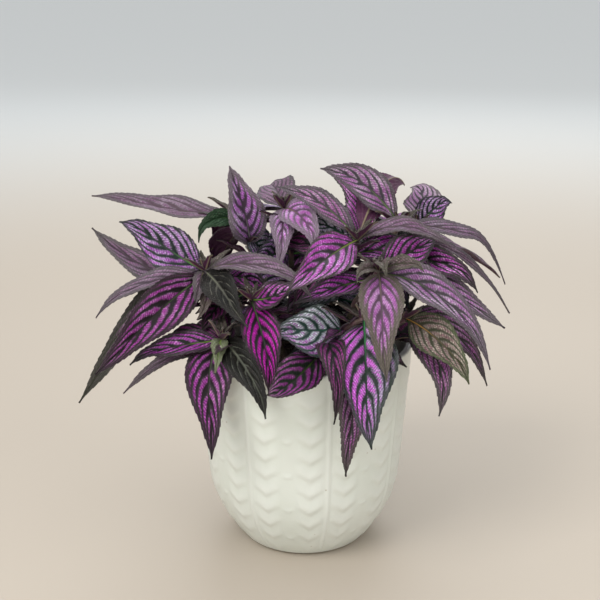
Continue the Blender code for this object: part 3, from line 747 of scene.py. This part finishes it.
def makeLeafMaterial():
    material, tree = newMaterial(
        "purple leaf", Sheen_Weight=0.02, Sheen_Roughness=0.4, Sheen_Tint=(0.85, 0.72, 0.80, 1.0),
        Specular_IOR_Level=0.22,
    )
    veins, shape = addVeins(tree)
    panel, sheen, vein, margin, rib = (readAttribute(tree, name) for name in colorLayers)
    gloss, silver = readAttribute(tree, "panel", "Alpha"), readAttribute(tree, "sheen", "Alpha")
    spread, grain = readAttribute(tree, "vein", "Alpha"), readAttribute(tree, "rib", "Alpha")
    # Painted sheen: some cells more than others, in patches, and more of it on one half of some leaves
    sheenCover = silver + (shape["X"] - 0.5) * readAttribute(tree, "lean", "Fac") + veins["Patches"]
    sheenCover = sheenCover + veins["Pick"] * 0.5 + 0.5 - veins["Between"] * 0.55
    color = mixColor(sheenCover.fade(1.0, 1.7), panel, sheen)
    # Painted highlight and shade: cells are bright in the middle and dark where they meet,
    # and the cross ribs run over them
    shade = (veins["Cells"] * (veins["Pick"] * 0.7 + 0.7) * 0.60 + 0.60) * (veins["Ribs"] * 0.65 + 0.67)
    shade = (shade - 0.85) * grain + 0.85
    # Panels are brightest midway between two veins, and some are brighter than others
    glow = veins["Between"].fade(0.25, 0.85, 0.62, 1.02) * (veins["Patches"] * 0.9 + 0.58)
    color = mixColor(1.0, color, shade * glow, "MULTIPLY")
    # Towards the tip the panels turn grey
    color = mixColor(shape["Y"].fade(0.74, 0.97, 0.0, 0.75), color, mixColor(0.6, margin, sheen))
    # How far a place lies open between the veins, the midrib and its darker band
    open_ = veins["Between"].fade(spread * 0.16 + 0.06, spread * 0.42 + 0.36) * (1 - veins["Keel"] * 0.85)
    color = mixColor(open_, vein, color)
    color = mixColor(veins["Margin"] * 0.92, color, mixColor(1.0, margin, shade * 0.7 + 0.35, "MULTIPLY"))
    # Midrib: pale green by the stalk, and nearly as dark as the veins beyond
    color = mixColor(veins["Midrib"], color, mixColor(shape["Y"].fade(0.12, 0.50, 0.0, 0.92), rib, vein))
    shine = open_ * (1 - veins["Margin"]) * gloss * 0.36
    rough = veins["Pick"] * 0.20 + 0.46 - gloss * 0.20
    return dress(material, color, (veins["Height"], 0.6, 0.35 * mm), Metallic=shine, Roughness=rough)


def makeUndersideMaterial():
    material, tree = newMaterial(
        "leaf underside", Sheen_Weight=0.12, Sheen_Roughness=0.5, Sheen_Tint=(0.75, 0.6, 0.68, 1.0),
        Specular_IOR_Level=0.35,
    )
    veins, _ = addVeins(tree)
    color = mixColor(veins["Patches"], (0.055, 0.008, 0.036), (0.095, 0.018, 0.070))
    # Painted highlight and shade: the cells are lighter in the middle and darker where they meet
    color = mixColor(1.0, color, veins["Cells"] * 0.4 + 0.75, "MULTIPLY")
    rib = veins["Between"].fade(0.03, 0.17, 1.0, 0.0)
    color = mixColor(rib * 0.45, color, (0.12, 0.075, 0.075))
    color = mixColor(veins["Midrib"], color, (0.19, 0.15, 0.09))
    raised = veins["Midrib"].math("MAXIMUM", rib * 0.6) + veins["Cells"] * 0.25
    return dress(material, color, (raised, 0.5, 0.4 * mm), Roughness=veins["Pick"].fade(0.0, 1.0, 0.52, 0.68))


def makeStemMaterial():
    material, tree = newMaterial("hairy stem", Sheen_Weight=0.35, Sheen_Tint=(0.8, 0.76, 0.68, 1.0))
    broad, fine = addMottle(tree, 70.0, 900.0)
    color = mixColor(broad, (0.075, 0.062, 0.032), (0.095, 0.040, 0.050))
    color = mixColor(fine * 0.5, color, (0.16, 0.15, 0.09))
    color = mixColor(readAttribute(tree, "joint", "Fac"), color, (0.10, 0.025, 0.05))
    return dress(material, color, (fine, 0.4, 0.2 * mm), Roughness=fine.fade(0.0, 1.0, 0.45, 0.65))


def makeHairMaterial():
    material, tree = newMaterial("fine hair", Roughness=0.7, Sheen_Weight=0.2)
    broad, _ = addMottle(tree, 200.0, 2000.0)
    return dress(material, mixColor(broad, (0.42, 0.38, 0.34), (0.30, 0.22, 0.25)))


# ---- mesh helpers ----

def addGrid(bm, columns, rows):
    bmesh.ops.create_grid(bm, x_segments=columns, y_segments=rows)
    bm.verts.ensure_lookup_table()


def closeBody(bm, distance):
    # Merges the seam and the poles of a wrapped grid
    bmesh.ops.remove_doubles(bm, verts=bm.verts, dist=distance)
    bmesh.ops.recalc_face_normals(bm, faces=bm.faces)
    for face in bm.faces:
        face.smooth = True


def addObject(name, data):
    piece = bpy.data.objects.new(name, data)
    bpy.context.scene.collection.objects.link(piece)
    return piece


def pieceFrom(name, bm, *materials):
    mesh = bpy.data.meshes.new(name)
    bm.to_mesh(mesh)
    bm.free()
    for material in materials:
        mesh.materials.append(material)
    return addObject(name, mesh)


def finishPiece(piece, node):
    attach(piece, "root")
    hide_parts(node)
    return piece


def smooth(value):
    value = min(1.0, max(0.0, value))
    return value * value * (3 - 2 * value)


# ---- leaves ----

leafFinish = {
    "seed": 23, "thickness": 0.45 * mm, "columns": 18, "smallColumns": 10, "smallLength": 30 * mm,
    "toothLength": 3.6 * mm, "toothDepth": 0.5 * mm, "toothSteps": ((0.0, 0.0), (0.5, 0.6), (0.9, 1.0)),
    "quilt": 0.75 * mm, "quiltFrom": 6 * mm, "groove": 0.35 * mm, "wave": 0.9 * mm, "waveFrom": 8 * mm,
    "waves": 2.5, "crown": 1.6, "crownFall": 0.65, "stalkFold": 2.2, "tipWidth": 0.3 * mm, "slim": 0.14,
    "tipFill": 0.35, "curlFrom": 0.76, "curl": (1.6, 4.2), "smallCurl": 0.4, "curlDrop": 1.8 * mm,
    # lean and the half-sheened look's lean set how much more painted sheen one half of a leaf gets
    "colorSpread": 0.12, "lean": 0.5, "halfSheenLean": 1.2,
}


def bladeLength(blade):
    return (blade["tip"] - blade["start"]).length


def leafRows(blade):
    # Shares of the length for each row of points, with how far a tooth stands out there
    stalk = leafShape["stalkShare"]
    teeth = max(5, round(bladeLength(blade) * (1 - stalk) / leafFinish["toothLength"]))
    rows = [(stalk * step / 4, 0.0) for step in range(4)]
    for tooth in range(teeth):
        for step, out in leafFinish["toothSteps"]:
            inner = (tooth + step) / teeth
            fade = smooth(inner / 0.15) * smooth((1 - inner) / 0.12)
            rows.append((stalk + (1 - stalk) * inner, out * fade))
    return rows + [(0.995, 0.0), (1.0, 0.0)]


def leafHalf(blade, share):
    # The frame's half width, drawn in a little beyond the middle and fuller by the tip
    half = halfWidth(blade, share)
    half *= 1 - leafFinish["slim"] * smooth((share - 0.42) / 0.35)
    half *= 1 + leafFinish["tipFill"] * smooth((share - 0.76) / 0.18)
    return max(leafFinish["tipWidth"], half)


def bowAt(width):
    # How high the blade has risen from the midrib, as a share of its fold
    return width * (leafFinish["crown"] - leafFinish["crownFall"] * width)


def panelLift(share, reach):
    # 0 on the side veins and 1 midway between them, as the material draws them
    stalk = leafShape["stalkShare"]
    inner = (share - stalk) / (1 - stalk)
    phase = leafPattern["veins"] * (inner - leafPattern["climb"] * abs(reach) ** leafPattern["bend"])
    phase += leafPattern["halfShift"] if reach > 0 else 0.0
    return 2 * abs(phase - round(phase))


def tint(color, draw):
    # The colour a little darker or lighter, with its fourth value kept
    spread = leafFinish["colorSpread"]
    shade, low, high = draw.uniform(1 - spread, 1 + spread), 1 - spread / 3, 1 + spread / 3
    return tuple(value * shade * draw.uniform(low, high) for value in color[:3]) + color[3:]


def addLeaf(bm, layers, blade, draw):
    # A toothed, quilted sheet along the blade's own curve
    small = bladeLength(blade) < leafFinish["smallLength"]
    columns = leafFinish["smallColumns" if small else "columns"]
    rows = leafRows(blade)
    firstVert, firstFace = len(bm.verts), len(bm.faces)
    addGrid(bm, columns, len(rows) - 1)
    bm.verts.index_update()
    bm.faces.ensure_lookup_table()
    colors = {name: tint(color, draw) for name, color in looks[blade["look"]].items()}
    # lean: how much more of the painted sheen falls on one half of the leaf than the other
    spread = leafFinish["lean"]
    lean = leafFinish["halfSheenLean"] if blade["look"] == "halfSheen" else draw.uniform(-spread, spread)
    chance = draw.random()
    turns = (draw.uniform(0, 6.28), draw.uniform(0, 6.28))
    curl = draw.choice((-1, 1)) * draw.uniform(*leafFinish["curl"]) * mm
    curl *= leafFinish["smallCurl"] if small else 1.0
    shapes = []
    for row, (share, tooth) in enumerate(rows):
        point, side, upward = bladeFrame(blade, share)
        half = leafHalf(blade, share)
        inBlade = smooth((share - leafShape["stalkShare"]) / 0.12)
        past = max(0.0, (share - leafFinish["curlFrom"]) / (1 - leafFinish["curlFrom"])) ** 2
        point = point + side * curl * past - up * leafFinish["curlDrop"] * past
        quilt = leafFinish["quilt"] * min(1.0, half / leafFinish["quiltFrom"]) * inBlade
        waving = leafFinish["wave"] * min(1.0, half / leafFinish["waveFrom"]) * inBlade
        for column in range(columns + 1):
            reach = 2 * column / columns - 1
            width = abs(reach)
            bow = bowAt(width) * inBlade + leafFinish["stalkFold"] * width * width * (1 - inBlade)
            lift = half * math.sin(blade["fold"]) * bow
            inside = smooth(width / 0.14) * smooth((1 - width) / 0.14)
            lift += quilt * (smooth(panelLift(share, reach)) - 0.45) * inside
            lift -= leafFinish["groove"] * (1 - smooth(width / 0.12)) * inBlade
            lift += waving * math.sin(leafFinish["waves"] * 6.28 * share + turns[reach > 0]) * width ** 2
            out = half * math.cos(blade["fold"]) * reach
            if width == 1:
                out += math.copysign(leafFinish["toothDepth"] * tooth, reach)
            vert = bm.verts[firstVert + row * (columns + 1) + column]
            vert.co = point + side * out + upward * lift
            centimetres = Vector((reach * half, share * bladeLength(blade), (1 - width) * half)) * 100
            values = {"metric": centimetres, "traits": chance, "lean": lean, **colors}
            for name, value in values.items():
                vert[layers[name]] = value
            shapes.append((0.5 + 0.5 * reach, share))
    bmesh.ops.reverse_faces(bm, faces=bm.faces[firstFace:])
    bm.faces.ensure_lookup_table()
    for face in bm.faces[firstFace:]:
        face.smooth = True
        for loop in face.loops:
            loop[layers["shape"]].uv = shapes[loop.vert.index - firstVert]


def makeFoliage(name, blades, materials, draw):
    bm = bmesh.new()
    layers = {"shape": bm.loops.layers.uv.new("shape"), "metric": bm.verts.layers.float_vector.new("metric")}
    for label in ("traits", "lean"):
        layers[label] = bm.verts.layers.float.new(label)
    for label in colorLayers:
        layers[label] = bm.verts.layers.float_color.new(label)
    for blade in blades:
        addLeaf(bm, layers, blade, draw)
    for edge in bm.edges:
        edge.smooth = not edge.is_boundary
    piece = pieceFrom(name.replace("shoot", "foliage"), bm, *materials)
    shell = piece.modifiers.new("thickness", "SOLIDIFY")
    shell.thickness, shell.offset, shell.material_offset = leafFinish["thickness"], 0, 1
    return finishPiece(piece, name)


# ---- stems, buds and hairs ----

stemFinish = {"sides": 14, "rows": 44, "from": -0.15, "to": 1.02, "jointSwell": 0.32, "jointLength": 2.2 * mm,
              "jointTone": 0.7, "furrow": 0.05}
budFinish = {
    "pairs": ((21, 6.5, 38), (16, 5.0, 55), (11, 3.6, 70), (7, 2.6, 82)), "level": 0.99, "look": "young",
    "fold": 34, "arch": -0.05, "size": (0.8, 1.15), "sideLevels": (0.88, 0.76, 0.64, 0.52, 0.40, 0.28),
    "sideLength": (17, 33), "sideWidth": 0.38, "sideRise": (-5, 45), "sideFold": 24,
    # The side leaves' dark looks are partly painted shade for the inside of the plant
    "sideShadeLooks": ("dusk", "shadow", "plum", "dusk", "violet", "charcoal"),
}
hairFinish = {
    "stemHairs": 260, "per": 70 * mm, "stemLength": (0.8, 1.7), "stemRadius": 0.055, "marginShare": 0.66,
    "marginLength": (0.4, 0.8), "marginRadius": 0.04, "topLength": (0.5, 1.0), "topRadius": 0.045,
    "topHairs": {"young": 90, "charcoal": 150, "bronze": 80, "mauveSheen": 40},
}


def stemLength(shoot):
    return (stemPoint(shoot, 1) - stemPoint(shoot, 0)).length


def makeStem(name, shoot, blades, material):
    # A round stem that swells where its leaves are carried
    sides, rows = stemFinish["sides"], stemFinish["rows"]
    length = stemLength(shoot)
    joints = sorted({round(blade["level"], 2) for blade in blades})
    bm = bmesh.new()
    joint = bm.verts.layers.float.new("joint")
    addGrid(bm, sides, rows)
    for row in range(rows + 1):
        level = stemFinish["from"] + (stemFinish["to"] - stemFinish["from"]) * row / rows
        at = min(1.0, level)
        along = (stemPoint(shoot, max(0.0, at) + 0.01) - stemPoint(shoot, max(0.0, at) - 0.01 * (at > 0.01)))
        middle = stemPoint(shoot, at) + along.normalized() * max(0.0, level - 1) * length * 0.5
        near = min((abs(level - carried) * length for carried in joints), default=1.0)
        swell = math.exp(-(near / stemFinish["jointLength"]) ** 2)
        radius = stemRadius(at) * (1 + stemFinish["jointSwell"] * swell)
        radius *= 0.0 if row in (0, rows) else 1.0
        circle = ring(middle, along.normalized(), radius, sides)
        for column in range(sides + 1):
            vert = bm.verts[row * (sides + 1) + column]
            furrow = 1 - stemFinish["furrow"] * (column % 2)
            vert.co = middle + (circle[column % sides] - middle) * furrow
            vert[joint] = stemFinish["jointTone"] * swell
    closeBody(bm, 0.005 * mm)
    return finishPiece(pieceFrom(name.replace("shoot", "stem"), bm, material), name)


def smallLeaf(name, level, length, width, heading, rise, look, fold):
    start = stemPoint(shoots[name], level)
    tip = start / mm + towards(heading, math.radians(rise)) * length
    wanted = leaf(level, tip, width, look, arch=budFinish["arch"] * length, face=0, fold=fold)
    return dict(wanted, shoot=name, start=start, toLight=0.0)


def budLeaves(name, draw):
    # Small upright leaves in crosswise pairs at the growing tip, and young side leaves down the stem
    # in dark looks, partly painted shade for the inside of the plant
    heading = draw.uniform(0, math.pi)
    blades = []
    for length, width, rise in budFinish["pairs"]:
        for turn in (0, math.pi):
            around, lean = heading + turn + draw.uniform(-0.2, 0.2), rise + draw.uniform(-9, 9)
            size = draw.uniform(*budFinish["size"])
            blades.append(smallLeaf(name, budFinish["level"], length * size, width * size, around, lean,
                                    budFinish["look"], budFinish["fold"]))
        heading += math.pi / 2
    for level in budFinish["sideLevels"]:
        for turn in (0, math.pi):
            length = draw.uniform(*budFinish["sideLength"])
            around, rise = heading + turn + draw.uniform(-0.5, 0.5), draw.uniform(*budFinish["sideRise"])
            blades.append(smallLeaf(name, level, length, length * budFinish["sideWidth"], around, rise,
                                    draw.choice(budFinish["sideShadeLooks"]), budFinish["sideFold"]))
        heading += math.pi / 2
    return blades


def addHair(bm, kind, base, direction, draw):
    # A thin cone of the kind's length and radius, a little sunk in
    length = draw.uniform(*hairFinish[kind + "Length"]) * mm
    turn = direction.to_track_quat("Z", "Y").to_matrix().to_4x4()
    bmesh.ops.create_cone(
        bm, cap_ends=True, segments=3, radius1=hairFinish[kind + "Radius"] * mm, radius2=0, depth=length,
        matrix=Matrix.Translation(base + direction.normalized() * length * 0.45) @ turn,
    )


def scatter(draw, reach):
    return Vector([draw.uniform(-reach, reach) for axis in range(3)])


def makeHairs(name, shoot, blades, material, draw):
    bm = bmesh.new()
    for count in range(int(hairFinish["stemHairs"] * stemLength(shoot) / hairFinish["per"])):
        level = draw.uniform(0.08, 1.0)
        along = stemAlong(shoot, level)
        outward = ring(Vector(), along, 1.0, 36)[draw.randrange(36)]
        base = stemPoint(shoot, level) + outward * stemRadius(level)
        addHair(bm, "stem", base, outward + scatter(draw, 0.4) + along * 0.2, draw)
    for blade in blades:
        for share, tooth in leafRows(blade)[6:-6]:
            point, side, upward = bladeFrame(blade, share)
            half = leafHalf(blade, share)
            for across in (-1, 1):
                if draw.random() < hairFinish["marginShare"]:
                    reach = half * math.cos(blade["fold"]) + leafFinish["toothDepth"] * tooth
                    ahead = (blade["tip"] - blade["start"]).normalized() * draw.uniform(0.2, 0.9)
                    direction = side * across + ahead + upward * draw.uniform(-0.3, 0.5)
                    base = point + side * across * reach + upward * half * math.sin(blade["fold"]) * bowAt(1)
                    addHair(bm, "margin", base, direction, draw)
        for count in range(hairFinish["topHairs"].get(blade["look"], 0)):
            share, reach = draw.uniform(0.1, 0.95), draw.uniform(-0.95, 0.95)
            point, side, upward = bladeFrame(blade, share)
            half = leafHalf(blade, share)
            base = point + side * reach * half * math.cos(blade["fold"])
            base += upward * half * math.sin(blade["fold"]) * bowAt(abs(reach))
            addHair(bm, "top", base, upward + scatter(draw, 0.5), draw)
    return finishPiece(pieceFrom(name.replace("shoot", "hairs"), bm, material), name)


# ---- pot ----

potFinish = {
    "ribs": 8, "ribTurn": 13, "columnsPerRib": 48, "rowStep": 1.0 * mm, "ribHeight": 0.7 * mm,
    "ribWidth": 1.0, "ribFrom": (2 * mm, 5 * mm), "ribTo": (3 * mm, 6 * mm),
    "chevronAt": 10, "chevronReach": 6.5, "chevronEdge": 1.35, "chevronRows": 10, "chevronPitch": 11.7 * mm,
    "chevronStart": 6 * mm, "chevronHeight": 0.8 * mm, "chevronDrop": 4.5 * mm, "chevronCrest": 0.32,
    "fade": (0.55, 0.9), "dashAt": 22.5, "dashReach": 3.2, "dashHeight": 0.40 * mm, "dashCurve": 1.2 * mm,
    "dashWidth": 1.3 * mm, "lip": 1.4 * mm, "lipRows": 8,
}


def potRelief(turn, height):
    # Height of the relief at an angle from the nearest rib and a height above the base
    turn = min(turn, 45 - turn)
    pitch, start, edge = potFinish["chevronPitch"], potFinish["chevronStart"], potFinish["chevronEdge"]
    foot, footFade = potFinish["ribFrom"]
    head, headFade = potFinish["ribTo"]
    relief = potFinish["ribHeight"] * math.exp(-(turn / potFinish["ribWidth"]) ** 2)
    relief *= smooth((height - foot) / footFade) * smooth((potShape["height"] - head - height) / headFade)
    aside = abs(turn - potFinish["chevronAt"]) / potFinish["chevronReach"]
    if aside < edge:
        drop = potFinish["chevronDrop"] * max(0.0, 1 - aside)
        band = math.floor((height + drop - start) / pitch)
        if 0 <= band < potFinish["chevronRows"]:
            fade = potFinish["fade"][band] if band < len(potFinish["fade"]) else 1.0
            within = (height + drop - start) / pitch - band
            crest = potFinish["chevronCrest"]
            profile = smooth(within / crest) if within < crest else 1 - smooth((within - crest) / (1 - crest))
            envelope = (1.0 - 0.5 * min(1.0, aside)) * smooth((edge - aside) / 0.45)
            relief += potFinish["chevronHeight"] * profile * envelope * fade
    dash = abs(turn - potFinish["dashAt"]) / potFinish["dashReach"]
    if dash < 1:
        within = ((height - potFinish["dashCurve"] * dash ** 2 - start) / (2 * pitch)) % 1.0
        across = math.exp(-((within - 0.5) * 2 * pitch / potFinish["dashWidth"]) ** 2)
        relief += potFinish["dashHeight"] * across * (1 - dash ** 3)
    return relief


def wrapBody(name, columns, rows, place, material):
    # A closed turned body: a grid wrapped round the axis, with its seam and its two poles merged
    bm = bmesh.new()
    raised = bm.verts.layers.float.new("raised")
    addGrid(bm, columns, len(rows) - 1)
    for index, vert in enumerate(bm.verts):
        row, column = divmod(index, columns + 1)
        angle = 2 * math.pi * (column % columns) / columns
        radius, height, relief = place(rows[row], angle)
        vert.co = (radius * math.cos(angle), radius * math.sin(angle), height)
        vert[raised] = relief
    closeBody(bm, 0.01 * mm)
    return pieceFrom(name, bm, material)


def makePot(material):
    height, wall, lip = potShape["height"], potShape["wall"], potFinish["lip"]
    edge, floor, foot = potShape["footEdge"], potShape["floor"], outerRadius(0)
    rows = [(foot * share, 0.0, 0) for share in (0.0, 0.6, 0.9)]
    rows += [(foot - edge, 0.0, 0), (foot - 0.4 * edge, 0.25 * edge, 0)]
    count = round((height - edge - lip) / potFinish["rowStep"])
    levels = [edge + (height - lip - edge) * step / count for step in range(count + 1)]
    rows += [(outerRadius(level), level, 1) for level in levels]
    # The rim rounds over to the inner wall
    middle = outerRadius(height - lip) - wall / 2
    for step in range(1, potFinish["lipRows"]):
        angle = math.pi * step / potFinish["lipRows"]
        rows.append((middle + wall / 2 * math.cos(angle), height - lip + lip * math.sin(angle), 0))
    levels = [height * share for share in (0.985, 0.95, 0.9, 0.7, 0.4, 0.2)]
    rows += [(outerRadius(level) - wall, level, 0) for level in levels]
    rows += [(outerRadius(floor) - wall - 2 * edge, floor, 0), (0.0, floor, 0)]

    def place(row, angle):
        radius, level, onWall = row
        if not onWall:
            return radius, level, 0.0
        turn = (math.degrees(angle) + 90 - potFinish["ribTurn"]) % (360 / potFinish["ribs"])
        relief = potRelief(turn, level)
        return radius + relief, level, relief / potFinish["chevronHeight"]

    pot = wrapBody("glazed_pot", potFinish["ribs"] * potFinish["columnsPerRib"], rows, place, material)
    return finishPiece(pot, "pot")


def makeGlazeMaterial():
    material, tree = newMaterial("ivory glaze", Coat_Weight=0.35, Coat_Roughness=0.22)
    broad, fine = addMottle(tree, 26.0, 420.0)
    color = mixColor(broad, (0.64, 0.675, 0.61), (0.68, 0.71, 0.655))
    # Glaze runs thin and pale over the relief and pools warmer between
    raised = readAttribute(tree, "raised", "Fac")
    color = mixColor(raised.fade(0.05, 0.9, 0.0, 0.55), color, (0.70, 0.725, 0.675))
    point = objectPoint(tree)
    # A few small specks
    speck = cellsAt(point, 170.0)["Distance"].fade(0.05, 0.13, 1.0, 0.0)
    picked = noiseAt(point, 60.0, 1.0).fade(0.60, 0.66)
    color = mixColor(speck * picked * 0.55, color, (0.33, 0.26, 0.17))
    # The foot's ring is bare clay
    bare = splitAxes(point)["Z"].fade(0.4 * mm, 1.2 * mm, 1.0, 0.0)
    color = mixColor(bare, color, (0.62, 0.54, 0.42))
    rough = bare * 0.4 + fine.fade(0.0, 1.0, 0.30, 0.42)
    return dress(material, color, (broad * 0.6 + fine, 0.10, 0.25 * mm), Roughness=rough)


# ---- potting mix ----

mixFinish = {
    "columns": 96, "topRows": 26, "levels": (12, 25, 60, 100), "grain": 0.5 * mm, "grainScale": 420,
    "crumbs": 420, "crumbSize": (0.7, 2.0), "crumbEdge": 4 * mm, "crumbLength": 1.2, "barkShare": 0.2,
    "barkLength": 2.2, "seed": 5,
}


def soilHeight(x, y):
    lump = noise.noise(Vector((x, y, 0.0)) * potShape["soilLumpScale"])
    fine = noise.noise(Vector((x, y, 0.05)) * mixFinish["grainScale"])
    surface = potShape["height"] - potShape["soilDepth"]
    return surface + potShape["soilLump"] * lump + mixFinish["grain"] * fine


def makeMix(material):
    inset = potShape["wall"] + potShape["soilGap"]
    base = potShape["floor"] + 0.3 * mm
    rows = [(0.0, base), (outerRadius(potShape["floor"]) - inset - 3 * potShape["footEdge"], base)]
    rows += [(outerRadius(level * mm) - inset, level * mm) for level in mixFinish["levels"]]
    top = outerRadius(potShape["height"] - potShape["soilDepth"]) - inset
    rows += [(top * (1 - step / mixFinish["topRows"]), None) for step in range(mixFinish["topRows"] + 1)]

    def place(row, angle):
        radius, level = row
        if level is None:
            level = soilHeight(radius * math.cos(angle), radius * math.sin(angle))
        return radius, level, 0.0

    body = wrapBody("mix_body", mixFinish["columns"], rows, place, material)
    return finishPiece(body, "potting_mix")


def makeCrumbs(material):
    draw = random.Random(mixFinish["seed"])
    bm = bmesh.new()
    limit = outerRadius(potShape["height"]) - potShape["wall"] - mixFinish["crumbEdge"]
    for count in range(mixFinish["crumbs"]):
        radius, angle = limit * math.sqrt(draw.random()), draw.uniform(0, 2 * math.pi)
        x, y = radius * math.cos(angle), radius * math.sin(angle)
        size = draw.uniform(*mixFinish["crumbSize"]) * mm
        turn = Matrix.Rotation(draw.uniform(0, 6.28), 4, scatter(draw, 1))
        stretch = mixFinish["barkLength" if draw.random() < mixFinish["barkShare"] else "crumbLength"]
        shape = Matrix.Diagonal((size * stretch, size, size * draw.uniform(0.5, 0.9), 1))
        place = Matrix.Translation((x, y, soilHeight(x, y) + 0.3 * size)) @ turn @ shape
        verts = bmesh.ops.create_icosphere(bm, subdivisions=1, radius=1, matrix=place)["verts"]
        middle = sum((vert.co for vert in verts), Vector()) / len(verts)
        for vert in verts:
            vert.co = middle + (vert.co - middle) * draw.uniform(0.75, 1.15)
    return finishPiece(pieceFrom("mix_crumbs", bm, material), "potting_mix")


def makeMixMaterial():
    material, tree = newMaterial("potting mix", Roughness=0.95)
    broad, fine = addMottle(tree, 240.0, 1500.0)
    color = mixColor(broad, (0.028, 0.019, 0.013), (0.075, 0.050, 0.032))
    return dress(material, mixColor(fine * 0.35, color, (0.13, 0.10, 0.07)), (fine, 0.7, 0.5 * mm))


# ---- build ----

def buildPlant():
    draw = random.Random(leafFinish["seed"])
    leafMaterials = [makeLeafMaterial(), makeUndersideMaterial()]
    stemMaterial, hairMaterial = makeStemMaterial(), makeHairMaterial()
    placed = placeLeaves()
    print("leaves placed:", len(placed))
    for name, shoot in shoots.items():
        blades = [blade for blade in placed if blade["shoot"] == name]
        makeStem(name, shoot, blades, stemMaterial)
        blades += budLeaves(name, draw)
        makeFoliage(name, blades, leafMaterials, draw)
        makeHairs(name, shoot, blades, hairMaterial, draw)
    print("foliage made")


def buildPot():
    makePot(makeGlazeMaterial())
    mix = makeMixMaterial()
    makeMix(mix)
    makeCrumbs(mix)
    print("pot and mix made")


buildPot()
buildPlant()

# ---- floor, light and camera ----

stage = {
    "floorSize": 30.0, "floorColor": (0.45, 0.395, 0.33), "farLitColor": (0.70, 0.72, 0.715),
    "farFrom": (0.55, 2.2), "worldColor": (0.86, 0.88, 0.90, 1.0), "worldStrength": 0.50, "skyPower": 1.15,
    "skyAngle": 1.4, "lampsAimAt": Vector((0, 0, 0.13)), "lens": 66, "sensor": 36,
    "cameraAt": (-2.85 * mm, -650.6 * mm, 363.6 * mm), "pitch": 17.75,
}
lamps = {
    "key": {"at": (-0.9, -1.0, 1.5), "size": 1.1, "power": 22, "color": (1.0, 0.98, 0.95)},
    "fill": {"at": (1.2, -0.9, 0.9), "size": 1.4, "power": 7, "color": (1.0, 0.97, 0.93)},
    "low": {"at": (-0.5, -1.7, 0.22), "size": 0.7, "power": 7, "color": (1.0, 0.99, 0.96)},
    "back": {"at": (0.2, 1.3, 1.3), "size": 1.4, "power": 13, "color": (0.95, 0.98, 1.0)},
}


def makeStage():
    bm = bmesh.new()
    bmesh.ops.create_grid(bm, x_segments=1, y_segments=1, size=stage["floorSize"] / 2)
    bmesh.ops.translate(bm, verts=bm.verts, vec=(0, 0, -0.1 * mm))
    # Warm under the pot and paler all round further out, where the paler colour is painted light
    material, tree = newMaterial("plain floor", Roughness=0.6)
    away = addNode(tree, "ShaderNodeVectorMath", {0: objectPoint(tree)}, operation="LENGTH")["Value"]
    dress(material, mixColor(away.fade(*stage["farFrom"]), stage["floorColor"], stage["farLitColor"]))
    pieceFrom("floor", bm, material)
    world = bpy.data.worlds.new("studio")
    world.use_nodes = True
    backdrop = world.node_tree.nodes["Background"]
    backdrop.inputs["Color"].default_value = stage["worldColor"]
    backdrop.inputs["Strength"].default_value = stage["worldStrength"]
    bpy.context.scene.world = world
    for name, lamp in lamps.items():
        light = bpy.data.lights.new(name, "AREA")
        light.shape, light.size = "DISK", lamp["size"]
        light.energy, light.color = lamp["power"], lamp["color"]
        place = addObject(name, light)
        place.location = lamp["at"]
        aim = stage["lampsAimAt"] - place.location
        place.rotation_euler = aim.to_track_quat("-Z", "Y").to_euler()
    # Very soft light from straight above, the same all over the floor
    sky = bpy.data.lights.new("sky", "SUN")
    sky.energy, sky.angle = stage["skyPower"], stage["skyAngle"]
    addObject("sky", sky)


def makeCamera():
    camera = bpy.data.cameras.new("camera")
    camera.lens, camera.sensor_width = stage["lens"], stage["sensor"]
    place = addObject("camera", camera)
    place.location = stage["cameraAt"]
    place.rotation_euler = (math.radians(90 - stage["pitch"]), 0, 0)
    bpy.context.scene.camera = place
    bpy.context.scene.view_settings.view_transform = "Standard"


makeStage()
makeCamera()
bpy.context.view_layer.update()
total = sum(sum(len(face.vertices) - 2 for face in piece.data.polygons) * (1 + bool(piece.modifiers))
            for piece in bpy.data.objects if piece.type == "MESH")
print("triangles, about:", total)
